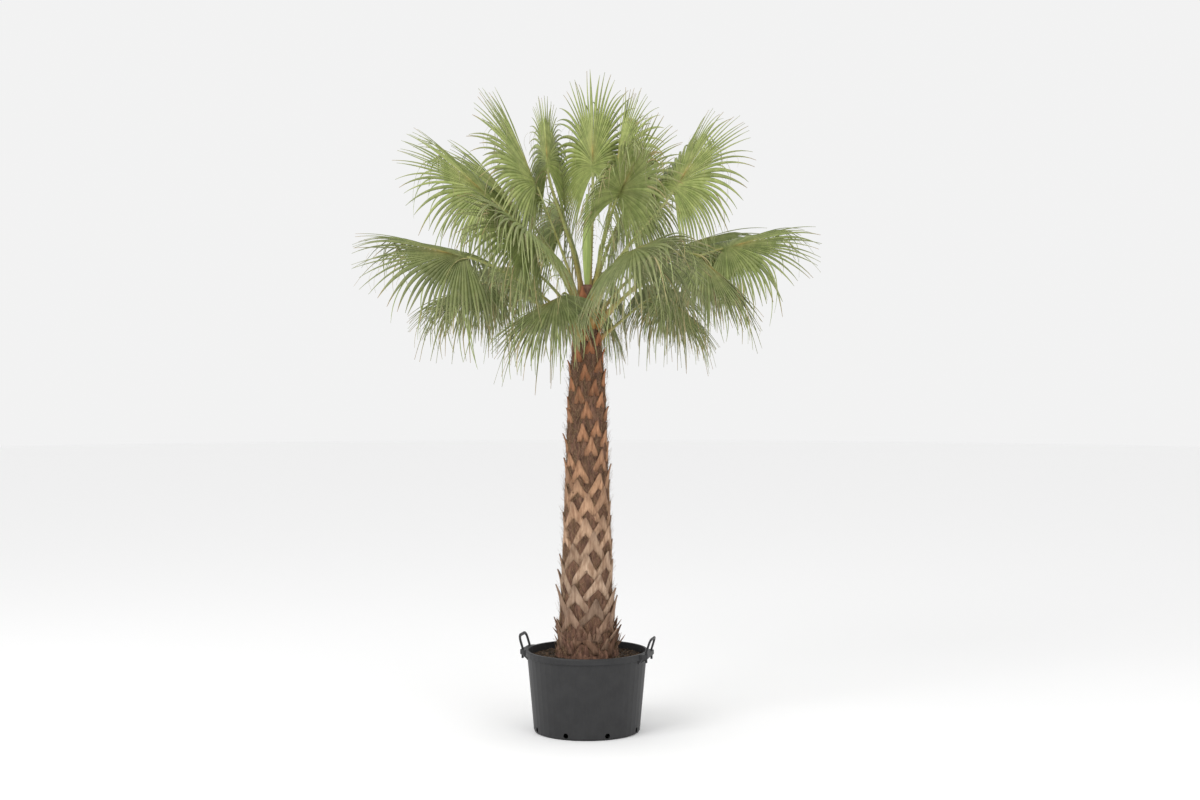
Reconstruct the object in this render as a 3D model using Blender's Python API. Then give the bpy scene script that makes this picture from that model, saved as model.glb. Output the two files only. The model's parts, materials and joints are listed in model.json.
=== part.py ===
"""Fan palm in a nursery pot with two carrying loops, built at its real size in metres.

The origin is the middle of the pot's flat underside, +Z is up, and the two loops lie on X.
Every frond is one stem and one fan. A fan is a thin blade of fingers that are joined near
its hub, and a finger that would run into another piece is shortened or left out.
"""

import math
from dataclasses import dataclass

import bmesh
import bpy
import numpy as np
from mathutils import Vector
from mathutils.bvhtree import BVHTree

# Clearances
GAP = 0.0003
TEST_MARGIN = 0.0012

# Pot
POT_HEIGHT = 0.425
POT_BASE_RADIUS = 0.278
POT_TOP_RADIUS = 0.312
POT_WALL = 0.005
POT_FLOOR = 0.006
POT_FOOT_ROUND = 0.012
FLOOR_ROUND = 0.010
RIM_RADIUS = 0.322
RIM_HEIGHT = 0.033
RIM_DRAFT = 0.001
RIM_STEP = 0.003
RIM_EDGE = 0.006
RIM_ROUND = 0.004
ROUND_STEPS = 48
DRAIN_COUNT = 8
DRAIN_RADIUS = 0.014
DRAIN_FIRST_TURN = -9.0
DRAIN_SIDES = 10
DRAIN_LIFT = 0.003
DRAIN_REACH_IN = 0.022
DRAIN_REACH_OUT = 0.020

# Lugs on the rim, and the loops that stand in their slots
LUG_RADIUS = 0.341
LUG_HALF_WIDTH = 0.098
LUG_DEPTH = 0.050
LUG_FACE_HEIGHT = 0.022
LUG_SINK = 0.004
LUG_DROP = 0.001
LUG_SHELF = 0.010
LUG_TOE = 0.005
LUG_STATIONS = (
    (-1.0, 0.4), (-0.8, 1.0), (-0.4, 1.0), (0.0, 1.0), (0.4, 1.0), (0.8, 1.0), (1.0, 0.4),
)
LOOP_RADIUS = 0.331
LOOP_HALF_SPAN = 0.066
LOOP_BAR_WIDTH = 0.016
LOOP_BAR_DEPTH = 0.010
LOOP_CHAMFER = 0.003
LOOP_FOOT = 0.378
LOOP_BEND = 0.430
LOOP_TOP = 0.494
LOOP_LEAN = math.radians(17.0)
LOOP_CORNER = 0.030
LOOP_CORNER_STEPS = 4
SLOT_CLEARANCE = 0.0005
SLOT_OVERRUN = 0.02
TINY = 1e-6

# Potting mix
SOIL_EDGE = 0.390
SOIL_TOP = 0.400
SOIL_MOUND_RADIUS = 0.200
SOIL_CLEARANCE = 0.001

# Trunk: height and radius of the core, from the flat cut on the mix to the tip
TRUNK_STEPS = 20
TRUNK_CORE = (
    (SOIL_TOP + GAP, 0.170), (0.450, 0.158), (0.520, 0.149), (0.700, 0.136), (0.960, 0.126),
    (1.300, 0.112), (1.500, 0.107), (1.710, 0.100), (1.890, 0.089), (2.000, 0.077),
    (2.080, 0.066), (2.180, 0.055), (2.280, 0.041), (2.330, 0.026),
)

# Split leaf bases left on the trunk
BOOT_FIRST = 0.440
BOOT_LAST = 1.900
BOOT_COUNT = 46
GOLDEN_ANGLE = math.radians(137.508)
BOOT_SINK = 0.012
BOOT_HALF_WIDTH = 0.048
BOOT_WIDTH_LOSS = 0.018
BOOT_LENGTH = 0.125
BOOT_LENGTH_LOSS = 0.045
BOOT_TIP_SHARE = 0.22
BOOT_ROOT_OUT = 0.002
BOOT_FLARE = 0.012
BOOT_FOOT_FLARE = 0.028
BOOT_FOOT_SHARE = 0.22
BOOT_PROUD = 0.008

# Spear leaf at the heart of the crown
SPEAR_TOP = 2.800
SPEAR_TIP_RADIUS = 0.004
SPEAR_RINGS = ((0.0, 0.012), (0.12, 0.020), (0.28, 0.016))
SPEAR_SIDES = 8

# Stems of the fronds
CROWN_FOOT = 2.045
CROWN_FOOT_RISE = 0.225
CROWN_LOW_HUB = 2.240
CROWN_HIGH_HUB = 2.950
STEM_LOW_LIFT = 28.0
STEM_LIFT_RISE = 54.0
STEM_STEPS = 6
STEM_SIDES = 6
STEM_FOOT_WIDTH = 0.026
STEM_TIP_WIDTH = 0.014
STEM_TAPER = 0.6
STEM_DEPTH_SHARE = 0.62
STEM_FOOT_HANDLE = 0.38
STEM_HUB_HANDLE = 0.25
STEM_LINE_STEPS = 60
HASTULA_LENGTH = 0.030
HASTULA_WIDTH = 0.008
TRUNK_TIP_SLOPE = 0.12
SEAT_TRIES = 600
SEAT_START = 0.025
SEAT_STEP = 0.00005

# Fans
FRONT_VIEW_TURN = 13.5
FINGER_COUNT = 17
FINGER_CROWDING = 0.75
FAN_HALF_ANGLE = math.radians(140.0)
TUFT_SHARE = 0.42
SPREAD_POWER = 1.15
COSTA_SHARE = 0.18
SIDE_SHORTENING = 0.34
SIDE_START = 0.25
SIDE_SHORT_SPAN = 0.45
DROOP_SPAN = 0.5
DROOP_AT_MIDDLE = 0.10
DROOP_STRENGTH = 2.6
DROOP_POWER = 1.6
RAY_STEPS = 20
FUSED_SHARE = 0.42
BLADE_THICKNESS = 0.007
TIP_WIDTH = 0.008
FINGER_TAPER = 0.8
FINGER_WIDTH_SHARE = 0.92
NORMAL_STEP = 0.05
FINGER_STATIONS = (0.0, 0.21, FUSED_SHARE, 0.70, 1.0)
FUSED_STATIONS = 2
SHORTER_TRIES = (1.0, 0.85, 0.70, 0.55, 0.40, 0.28)

BARE_BARK = (0.34, 0.22, 0.14)
BLACK_PLASTIC = (0.045, 0.045, 0.047)
POTTING_MIX = (0.085, 0.055, 0.035)
STEM_GREEN = (0.32, 0.36, 0.13)
LEAF_GREEN = (0.17, 0.23, 0.075)


@dataclass(frozen=True)
class Frond:
    """One frond: where its hub lies, and how the fan sits on it.

    Headings are degrees as seen from the front: 0 right, 90 away, 180 left, 270 near.
    """

    heading: float
    reach: float
    height: float
    aim: float
    pitch: float
    roll: float = 0.0
    fold: float = 50.0
    droop: float = 1.0
    radius: float = 0.60
    tuft: float = 22.0

    @property
    def youth(self):
        """0 for the lowest, oldest frond and 1 for the youngest at the heart."""
        span = CROWN_HIGH_HUB - CROWN_LOW_HUB
        return min(1.0, max(0.0, (self.height - CROWN_LOW_HUB) / span))

    @property
    def outward(self):
        turn = math.radians(self.heading + FRONT_VIEW_TURN)
        return np.array([math.cos(turn), math.sin(turn), 0.0])

    @property
    def hub(self):
        return self.outward * self.reach + np.array([0.0, 0.0, self.height])


# The first ones are those that show from the front, and the rest fill the back
FRONDS = (
    Frond(188, 0.50, 2.77, aim=186, pitch=42, roll=-56, fold=24, radius=0.56),
    Frond(197, 0.64, 2.46, aim=188, pitch=14, roll=-52, fold=28, radius=0.60),
    Frond(168, 0.27, 2.84, aim=150, pitch=66, roll=30, fold=35, droop=0.6, radius=0.61, tuft=25),
    Frond(136, 0.29, 2.95, aim=100, pitch=64, roll=-15, fold=60, radius=0.52),
    Frond(75, 0.12, 2.92, aim=96, pitch=78, roll=-15, fold=36, radius=0.59, tuft=28),
    Frond(40, 0.20, 2.92, aim=30, pitch=84, roll=-20, fold=56, radius=0.47),
    Frond(298, 0.34, 2.76, aim=312, pitch=54, roll=-35, fold=28, droop=0.7, radius=0.51),
    Frond(10, 0.46, 2.82, aim=15, pitch=58, roll=54, fold=24, radius=0.56, tuft=24),
    Frond(8, 0.72, 2.52, aim=8, pitch=16, roll=54, fold=26, radius=0.54, tuft=24),
    Frond(290, 0.60, 2.47, aim=300, pitch=10, roll=5, fold=35, droop=0.5, radius=0.64),
    Frond(330, 0.66, 2.45, aim=320, pitch=-34, fold=45, droop=0.7, radius=0.48, tuft=26),
    Frond(240, 0.52, 2.55, aim=232, pitch=26, roll=28, fold=55, droop=0.55, radius=0.60),
    Frond(240, 0.24, 2.27, aim=208, pitch=-24, roll=15, droop=0.6, radius=0.48, tuft=26),
    Frond(70, 0.24, 2.24, aim=58, pitch=-50, fold=45, droop=0.8, radius=0.34),
    Frond(146, 0.46, 2.76, aim=152, pitch=47, fold=50, radius=0.58),
    Frond(104, 0.50, 2.66, aim=100, pitch=30, roll=10),
    Frond(62, 0.46, 2.76, aim=60, pitch=42, fold=48),
    Frond(34, 0.64, 2.56, aim=34, pitch=16, roll=-10, radius=0.58),
    Frond(84, 0.62, 2.42, aim=84, pitch=2, fold=48, droop=0.9, radius=0.58),
    Frond(124, 0.66, 2.44, aim=126, pitch=4, roll=5, droop=0.9),
    Frond(52, 0.62, 2.36, aim=54, pitch=-12, fold=46, droop=0.8, radius=0.52),
    Frond(160, 0.58, 2.34, aim=160, pitch=-14, fold=48, droop=0.8, radius=0.48),
    Frond(22, 0.46, 2.26, aim=22, pitch=-34, fold=46, droop=0.7, radius=0.38),
)


def clear_scene():
    for obj in list(bpy.data.objects):
        bpy.data.objects.remove(obj)


def make_material(name, colour, roughness):
    material = bpy.data.materials.new(name)
    material.use_nodes = True
    shader = material.node_tree.nodes["Principled BSDF"]
    shader.inputs["Base Color"].default_value = (*colour, 1.0)
    shader.inputs["Roughness"].default_value = roughness
    shader.inputs["Metallic"].default_value = 0.0
    return material


def make_object(name, points, faces, material=None):
    """A mesh object from points and faces, with its faces turned outwards."""
    mesh = bpy.data.meshes.new(name)
    mesh.from_pydata([tuple(map(float, point)) for point in points], [], faces)
    work = bmesh.new()
    work.from_mesh(mesh)
    bmesh.ops.recalc_face_normals(work, faces=work.faces)
    if work.calc_volume(signed=True) < 0.0:
        bmesh.ops.reverse_faces(work, faces=work.faces)
    work.to_mesh(mesh)
    work.free()
    mesh.update()
    obj = bpy.data.objects.new(name, mesh)
    bpy.context.scene.collection.objects.link(obj)
    if material:
        mesh.materials.append(material)
    return obj


def combine(target, others, operation):
    """Joins or cuts the other objects with one applied Boolean, then removes them."""
    group = bpy.data.collections.new("boolean_group")
    bpy.context.scene.collection.children.link(group)
    for other in others:
        group.objects.link(other)
    change = target.modifiers.new("change", "BOOLEAN")
    change.operation = operation
    change.operand_type = "COLLECTION"
    change.collection = group
    change.solver = "MANIFOLD" if operation == "UNION" else "EXACT"
    bpy.context.view_layer.update()
    graph = bpy.context.evaluated_depsgraph_get()
    result = bpy.data.meshes.new_from_object(target.evaluated_get(graph))
    target.modifiers.remove(change)
    target.data = result
    for other in others:
        bpy.data.objects.remove(other)
    bpy.data.collections.remove(group)


def ring_faces(stations, sides):
    """Quads between rings of points, and a polygon at each end."""
    faces = []
    for row in range(stations - 1):
        for side in range(sides):
            here = row * sides + side
            beside = row * sides + (side + 1) % sides
            faces.append((here, beside, beside + sides, here + sides))
    faces.append(tuple(range(sides)))
    faces.append(tuple(range((stations - 1) * sides, stations * sides)))
    return faces


def revolve(profile, steps):
    """A profile of (radius, height) points turned round Z. Its first and last radius are 0."""
    turns = np.arange(steps) * 2.0 * math.pi / steps
    points = [(0.0, 0.0, profile[0][1]), (0.0, 0.0, profile[-1][1])]
    rings = profile[1:-1]
    for radius, height in rings:
        points += [(radius * math.cos(a), radius * math.sin(a), height) for a in turns]
    faces = []
    last = 2 + (len(rings) - 1) * steps
    for side in range(steps):
        beside = (side + 1) % steps
        faces.append((0, 2 + beside, 2 + side))
        faces.append((1, last + side, last + beside))
        for row in range(len(rings) - 1):
            low = 2 + row * steps
            faces.append((low + side, low + beside, low + steps + beside, low + steps + side))
    return points, faces


def block(corners):
    """Points and faces of a box whose eight corners are given, four below and four above."""
    return corners, ring_faces(2, 4)


# The pot

def pot_profile():
    """Outline of the pot's wall, from the middle of its underside to that of its floor."""
    foot = [
        (
            POT_BASE_RADIUS - POT_FOOT_ROUND * (1.0 - math.sin(a)),
            POT_FOOT_ROUND * (1.0 - math.cos(a)),
        )
        for a in (0.0, math.pi / 4.0, math.pi / 2.0)
    ]
    shoulder = POT_HEIGHT - RIM_HEIGHT
    outside = [
        (POT_TOP_RADIUS, shoulder),
        (RIM_RADIUS - RIM_DRAFT, shoulder + RIM_STEP),
        (RIM_RADIUS, POT_HEIGHT - RIM_EDGE),
        (RIM_RADIUS - RIM_ROUND, POT_HEIGHT),
    ]
    inside = [
        (POT_TOP_RADIUS - POT_WALL, POT_HEIGHT),
        (POT_BASE_RADIUS - POT_WALL, POT_FOOT_ROUND + POT_FLOOR),
        (POT_BASE_RADIUS - POT_WALL - FLOOR_ROUND, POT_FLOOR),
    ]
    return [(0.0, 0.0), *foot, *outside, *inside, (0.0, POT_FLOOR)]


def lug(side):
    """Boss on the rim, wider than the loop, with a slanted underside that runs into the wall."""
    root = POT_TOP_RADIUS - LUG_SINK
    top = POT_HEIGHT - LUG_DROP
    low = top - LUG_DEPTH
    points = []
    for along, reach in LUG_STATIONS:
        sag = root - math.sqrt(root**2 - (along * LUG_HALF_WIDTH) ** 2)
        inner = root - sag
        shelf = inner + LUG_SHELF
        outer = shelf + (LUG_RADIUS - shelf) * reach
        outline = (
            (inner, top), (outer, top), (outer, top - LUG_FACE_HEIGHT),
            (inner + LUG_TOE, low), (inner, low),
        )
        points += [(side * x, along * LUG_HALF_WIDTH, z) for x, z in outline]
    return make_object("lug", points, ring_faces(len(LUG_STATIONS), len(outline)))


def loop_slot(side, end):
    """Cutter for the slot that one leg of a loop stands in."""
    half_x = LOOP_BAR_DEPTH / 2.0 + SLOT_CLEARANCE
    half_y = LOOP_BAR_WIDTH / 2.0 + SLOT_CLEARANCE
    corners = []
    for z in (LOOP_FOOT - SLOT_OVERRUN, POT_HEIGHT + SLOT_OVERRUN):
        for x, y in ((-1, -1), (1, -1), (1, 1), (-1, 1)):
            corners.append((side * LOOP_RADIUS + x * half_x, end * LOOP_HALF_SPAN + y * half_y, z))
    return make_object("slot_cutter", *block(corners))


def drain_hole(turn):
    """Cutter for a drain hole low in the wall, a tube that points outwards."""
    outward = np.array([math.cos(turn), math.sin(turn), 0.0])
    across = np.array([-math.sin(turn), math.cos(turn), 0.0])
    points = []
    for reach in (POT_BASE_RADIUS - DRAIN_REACH_IN, POT_BASE_RADIUS + DRAIN_REACH_OUT):
        for step in range(DRAIN_SIDES):
            angle = (step + 0.5) * 2.0 * math.pi / DRAIN_SIDES
            lift = POT_FLOOR + DRAIN_LIFT + DRAIN_RADIUS * (1.0 + math.sin(angle))
            points.append(outward * reach + across * DRAIN_RADIUS * math.cos(angle) + (0, 0, lift))
    return make_object("drain_cutter", points, ring_faces(2, DRAIN_SIDES))


def make_pot(material):
    pot = make_object("pot", *revolve(pot_profile(), ROUND_STEPS), material)
    combine(pot, [lug(-1.0), lug(1.0)], "UNION")
    cutters = [loop_slot(side, end) for side in (-1.0, 1.0) for end in (-1.0, 1.0)]
    for hole in range(DRAIN_COUNT):
        turn = DRAIN_FIRST_TURN + hole * 360.0 / DRAIN_COUNT
        cutters.append(drain_hole(math.radians(turn)))
    combine(pot, cutters, "DIFFERENCE")
    return pot


def loop_path():
    """Middle line of a loop in its own sheet: (across, up) from one foot to the other."""
    top = LOOP_BEND + (LOOP_TOP - LOOP_BEND) / math.cos(LOOP_LEAN)
    corner_y = top - LOOP_CORNER
    half = [(-LOOP_HALF_SPAN, LOOP_FOOT), (-LOOP_HALF_SPAN, LOOP_BEND)]
    for step in range(LOOP_CORNER_STEPS + 1):
        angle = math.pi - step * math.pi / (2.0 * LOOP_CORNER_STEPS)
        across = -LOOP_HALF_SPAN + LOOP_CORNER * (1.0 + math.cos(angle))
        half.append((across, corner_y + LOOP_CORNER * math.sin(angle)))
    return half + [(-across, up) for across, up in reversed(half)]


def lean_out(up, depth):
    """Radius and height of a point of the loop: upright in its slot, then leaning outwards."""
    lean = 0.0 if up < LOOP_BEND - TINY else LOOP_LEAN
    if abs(up - LOOP_BEND) <= TINY:
        lean = LOOP_LEAN / 2.0
    rise = max(0.0, up - LOOP_BEND)
    radius = LOOP_RADIUS + rise * math.sin(LOOP_LEAN) + depth * math.cos(lean)
    height = min(up, LOOP_BEND) + rise * math.cos(LOOP_LEAN) - depth * math.sin(lean)
    return radius, height


def make_loop(name, side, material):
    """A carrying loop: a bar with chamfered edges, swept along its path."""
    path = np.array(loop_path())
    heading = np.gradient(path, axis=0)
    heading[0] = heading[1] = (0.0, 1.0)
    heading[-1] = heading[-2] = (0.0, -1.0)
    heading /= np.linalg.norm(heading, axis=1, keepdims=True)
    half_width = LOOP_BAR_WIDTH / 2.0
    half_depth = LOOP_BAR_DEPTH / 2.0
    section = [
        (half_width - LOOP_CHAMFER, half_depth), (half_width, half_depth - LOOP_CHAMFER),
        (half_width, LOOP_CHAMFER - half_depth), (half_width - LOOP_CHAMFER, -half_depth),
    ]
    section += [(-w, -d) for w, d in section]
    points = []
    for (across, up), (dx, dy) in zip(path, heading):
        for width, depth in section:
            y, sheet_up = across + dy * width, up - dx * width
            radius, height = lean_out(sheet_up, depth)
            points.append((side * radius, y, height))
    return make_object(name, points, ring_faces(len(path), len(section)), material)


# Mix and trunk

def make_soil(material):
    """The mix fills the pot to below its rim and rises a little towards the trunk."""
    floor = POT_FLOOR + GAP
    low = POT_FOOT_ROUND + POT_FLOOR
    foot = POT_BASE_RADIUS - POT_WALL - SOIL_CLEARANCE
    slope = (POT_TOP_RADIUS - POT_BASE_RADIUS) / (POT_HEIGHT - low)
    profile = [
        (0.0, floor), (foot - FLOOR_ROUND, floor), (foot, low),
        (foot + slope * (SOIL_EDGE - low), SOIL_EDGE), (SOIL_MOUND_RADIUS, SOIL_TOP), (0.0, SOIL_TOP),
    ]
    return make_object("potting_mix", *revolve(profile, ROUND_STEPS), material)


def trunk_radius(height):
    heights, radii = zip(*TRUNK_CORE)
    return float(np.interp(height, heights, radii))


def leaf_base(index):
    """A split leaf base: rooted in the core, its point standing up and out from the trunk."""
    share = index / (BOOT_COUNT - 1)
    height = BOOT_FIRST + share * (BOOT_LAST - BOOT_FIRST)
    turn = index * GOLDEN_ANGLE
    near_foot = max(0.0, 1.0 - share / BOOT_FOOT_SHARE)
    half_width = BOOT_HALF_WIDTH - BOOT_WIDTH_LOSS * share
    length = BOOT_LENGTH - BOOT_LENGTH_LOSS * share
    flare = BOOT_FLARE + BOOT_FOOT_FLARE * near_foot + BOOT_PROUD * (index % 3 == 0)
    points = []
    root = (0.0, half_width, BOOT_ROOT_OUT)
    for up, width, out in (root, (length, half_width * BOOT_TIP_SHARE, flare)):
        middle = trunk_radius(height + up)
        for radius in (middle - BOOT_SINK, middle + out):
            for side in (-1.0, 1.0) if radius < middle else (1.0, -1.0):
                angle = turn + side * width / middle
                points.append((radius * math.cos(angle), radius * math.sin(angle), height + up))
    return make_object("leaf_base", *block(points))


def make_trunk(material):
    """The tapering core with its leaf bases, set on a spiral and joined to it."""
    profile = [(0.0, TRUNK_CORE[0][0])]
    profile += [(radius, height) for height, radius in TRUNK_CORE]
    profile.append((0.0, TRUNK_CORE[-1][0]))
    trunk = make_object("trunk", *revolve(profile, TRUNK_STEPS), material)
    combine(trunk, [leaf_base(index) for index in range(BOOT_COUNT)], "UNION")
    return trunk


def make_spear(material):
    """The unopened leaf, a slim spindle that stands on the trunk's tip."""
    foot = TRUNK_CORE[-1][0] + GAP
    rings = [(foot + up, radius) for up, radius in SPEAR_RINGS]
    rings.append((SPEAR_TOP, SPEAR_TIP_RADIUS))
    points = []
    for height, radius in rings:
        for side in range(SPEAR_SIDES):
            angle = side * 2.0 * math.pi / SPEAR_SIDES
            points.append((radius * math.cos(angle), radius * math.sin(angle), height))
    return make_object("spear_leaf", points, ring_faces(len(rings), SPEAR_SIDES), material)


# Fronds

def unit(vectors):
    return vectors / np.linalg.norm(vectors, axis=-1, keepdims=True)


def smooth(share):
    share = np.clip(share, 0.0, 1.0)
    return share * share * (3.0 - 2.0 * share)


def fan_axes(frond):
    """Unit vectors along the fan's middle, across it, and off its upper side."""
    aim = math.radians(frond.aim + FRONT_VIEW_TURN)
    pitch = math.radians(frond.pitch)
    roll = math.radians(frond.roll)
    along = np.array(
        [math.cos(pitch) * math.cos(aim), math.cos(pitch) * math.sin(aim), math.sin(pitch)]
    )
    level = np.array([-math.sin(aim), math.cos(aim), 0.0])
    above = np.cross(along, level)
    across = math.cos(roll) * level + math.sin(roll) * above
    upper = math.cos(roll) * above - math.sin(roll) * level
    return along, across, upper


def fan_rays(frond, places, steps=RAY_STEPS):
    """Rays of a fan at places from -1 to 1, as points at even steps from root to tip.

    The middle rays form a tuft, those at the side are shorter and turn down, and the two
    halves are folded down from the middle like a roof.
    """
    along, across, upper = fan_axes(frond)
    off_middle = np.abs(places)
    tuft = math.radians(frond.tuft)
    beyond = np.clip((off_middle - TUFT_SHARE) / (1.0 - TUFT_SHARE), 0.0, 1.0) ** SPREAD_POWER
    angle = np.where(
        off_middle < TUFT_SHARE,
        tuft * off_middle / TUFT_SHARE,
        tuft + (FAN_HALF_ANGLE - tuft) * beyond,
    )
    fold = math.radians(frond.fold)
    sideways = np.sign(places)[:, None] * math.cos(fold) * across - math.sin(fold) * upper
    heading = np.cos(angle)[:, None] * along + np.sin(angle)[:, None] * sideways
    shorter = SIDE_SHORTENING * smooth((off_middle - SIDE_START) / SIDE_SHORT_SPAN)
    length = frond.radius * (1.0 - shorter) * (1.0 - COSTA_SHARE * (1.0 - off_middle))
    root = frond.hub + (COSTA_SHARE * frond.radius * (1.0 - off_middle))[:, None] * along
    share = (np.arange(steps) + 0.5) / steps
    at_side = smooth((off_middle - SIDE_START) / DROOP_SPAN)
    weight = frond.droop * (DROOP_AT_MIDDLE + (1.0 - DROOP_AT_MIDDLE) * at_side)
    pull = weight[:, None] * DROOP_STRENGTH * share[None, :] ** DROOP_POWER
    step = unit(heading[:, None, :] - pull[:, :, None] * np.array([0.0, 0.0, 1.0]))
    reach = np.cumsum(step, axis=1) * (length / steps)[:, None, None]
    start = np.zeros_like(reach[:, :1])
    return root[:, None, :] + np.concatenate([start, reach], axis=1)


def at_share(rays, share):
    """Points of the rays at a share of their length."""
    place = share * (rays.shape[1] - 1)
    low = min(int(place), rays.shape[1] - 2)
    return rays[:, low] + (place - low) * (rays[:, low + 1] - rays[:, low])


def finger_edges():
    """Places of the cuts between fingers, closer together at the sides of the fan."""
    even = np.linspace(-1.0, 1.0, FINGER_COUNT + 1)
    return np.sign(even) * np.abs(even) ** FINGER_CROWDING


class Fan:
    """The blade of one frond, as stations of points on its cuts and its fingers."""

    def __init__(self, frond):
        edges = finger_edges()
        middles = (edges[1:] + edges[:-1]) / 2.0
        self.edge_rays = fan_rays(frond, edges)
        self.middle_rays = fan_rays(frond, middles)
        self.upper = fan_axes(frond)[2]
        self.first = 0
        self.last = FINGER_COUNT - 1
        self.lengths = [1.0] * FINGER_COUNT

    def normal(self, place, share):
        """Unit normal of the blade beside an edge ray, on the fan's upper side."""
        low, high = max(0, place - 1), min(FINGER_COUNT, place + 1)
        point = at_share(self.edge_rays, share)
        ahead = at_share(self.edge_rays, min(1.0, share + NORMAL_STEP))
        behind = at_share(self.edge_rays, max(0.0, share - NORMAL_STEP))
        across = point[high] - point[low]
        out = ahead[place] - behind[place]
        normal = np.cross(out, across)
        size = np.linalg.norm(normal)
        return self.upper if size < TINY**2 else normal / size

    def finger_section(self, index, share, length, extra=0.0):
        """Four corners of a finger at a share of its own length, as upper and lower pairs."""
        half = (BLADE_THICKNESS / 2.0) + extra
        if share <= FUSED_SHARE:
            corners = []
            for place in (index, index + 1):
                point = at_share(self.edge_rays, share)[place]
                normal = self.upper if share == 0.0 else self.normal(place, share)
                corners += [point + normal * half, point - normal * half]
            return corners
        root_left, root_right = at_share(self.edge_rays, FUSED_SHARE)[index : index + 2]
        wide = np.linalg.norm(root_right - root_left)
        beyond = (share - FUSED_SHARE) / (1.0 - FUSED_SHARE)
        place = FUSED_SHARE + beyond * (1.0 - FUSED_SHARE) * length
        middle = at_share(self.middle_rays, place)[index]
        left, right = at_share(self.edge_rays, place)[index : index + 2]
        across = unit(right - left)
        taper = FINGER_WIDTH_SHARE * (1.0 - beyond) ** FINGER_TAPER
        width = wide * taper + TIP_WIDTH * beyond + 2.0 * extra
        normal = self.normal(index, place) + self.normal(index + 1, place)
        normal = unit(normal - across * np.dot(normal, across))
        corners = []
        for side in (-0.5, 0.5):
            point = middle + across * width * side
            corners += [point + normal * half, point - normal * half]
        return corners

    def test_solid(self, index, stations, length=1.0, extra=TEST_MARGIN):
        """A slightly thicker copy of one finger's stretch, for the clearance tests."""
        points = []
        for share in stations:
            upper_left, lower_left, upper_right, lower_right = self.finger_section(
                index, share, length, extra
            )
            points += [upper_left, upper_right, lower_right, lower_left]
        return Solid(points, ring_faces(len(stations), 4))

    def mesh(self):
        """Points and faces of the whole blade, one closed skin."""
        points, faces, found = [], [], {}

        def vertex(key, position):
            if key not in found:
                found[key] = len(points)
                points.append(position)
            return found[key]

        for index in range(self.first, self.last + 1):
            rows = []
            for number, share in enumerate(FINGER_STATIONS):
                if share > FUSED_SHARE and not self.lengths[index]:
                    break
                corners = self.finger_section(index, share, self.lengths[index])
                row = []
                for corner, position in enumerate(corners):
                    edge = index + corner // 2
                    side = corner % 2
                    if number == 0:
                        key = ("root", abs(2 * edge - FINGER_COUNT), side)
                    elif number <= FUSED_STATIONS:
                        key = ("edge", edge, number, side)
                    else:
                        key = ("finger", index, number, corner)
                    row.append(vertex(key, position))
                rows.append(row)
            for number, (low, high) in enumerate(zip(rows, rows[1:])):
                faces.append((low[0], low[2], high[2], high[0]))
                faces.append((low[1], high[1], high[3], low[3]))
                if number >= FUSED_STATIONS or index == self.first:
                    faces.append((low[0], high[0], high[1], low[1]))
                if number >= FUSED_STATIONS or index == self.last:
                    faces.append((low[2], low[3], high[3], high[2]))
            end = rows[-1]
            faces.append((end[0], end[2], end[3], end[1]))
            if not self.first <= FINGER_COUNT - 1 - index <= self.last:
                root = rows[0]
                faces.append((root[0], root[1], root[3], root[2]))
        tidy = []
        for face in faces:
            kept = [v for place, v in enumerate(face) if v not in face[:place]]
            if len(kept) > 2:
                tidy.append(tuple(kept))
        return points, tidy


class Solid:
    """Closed skin with a search tree and its bounds, used to keep pieces apart."""

    def __init__(self, points, faces):
        self.points = [Vector(point) for point in points]
        self.faces = faces
        self.tree = BVHTree.FromPolygons(self.points, faces)
        array = np.array(points)
        self.low = array.min(axis=0)
        self.high = array.max(axis=0)

    @classmethod
    def of_object(cls, obj):
        points = [tuple(vertex.co) for vertex in obj.data.vertices]
        return cls(points, [tuple(face.vertices) for face in obj.data.polygons])

    def meets(self, other):
        if (self.low > other.high).any() or (other.low > self.high).any():
            return False
        return bool(self.tree.overlap(other.tree))

    def distance(self, points):
        return min(self.tree.find_nearest(Vector(point))[3] for point in points)


def above_blade(width):
    """How far the middle of a stem of this width lies above the blade's own middle."""
    half_depth = STEM_DEPTH_SHARE * math.sin(math.pi / 3.0) * width / 2.0
    return BLADE_THICKNESS / 2.0 + GAP + half_depth


def stem_line(frond, steps):
    """Middle line of a stem: it leaves the trunk upwards and ends on top of its fan's hub."""
    along, _, upper = fan_axes(frond)
    height = CROWN_FOOT + CROWN_FOOT_RISE * frond.youth
    foot = frond.outward * trunk_radius(height) + np.array([0.0, 0.0, height])
    end = frond.hub + upper * above_blade(STEM_TIP_WIDTH)
    lift = math.radians(STEM_LOW_LIFT + STEM_LIFT_RISE * frond.youth)
    leaving = frond.outward * math.cos(lift) + np.array([0.0, 0.0, math.sin(lift)])
    span = np.linalg.norm(end - foot)
    first = foot + leaving * span * STEM_FOOT_HANDLE
    second = end - along * span * STEM_HUB_HANDLE
    t = np.linspace(0.0, 1.0, steps + 1)[:, None]
    return (
        (1 - t) ** 3 * foot + 3 * t * (1 - t) ** 2 * first
        + 3 * t * t * (1 - t) * second + t**3 * end
    )


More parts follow.
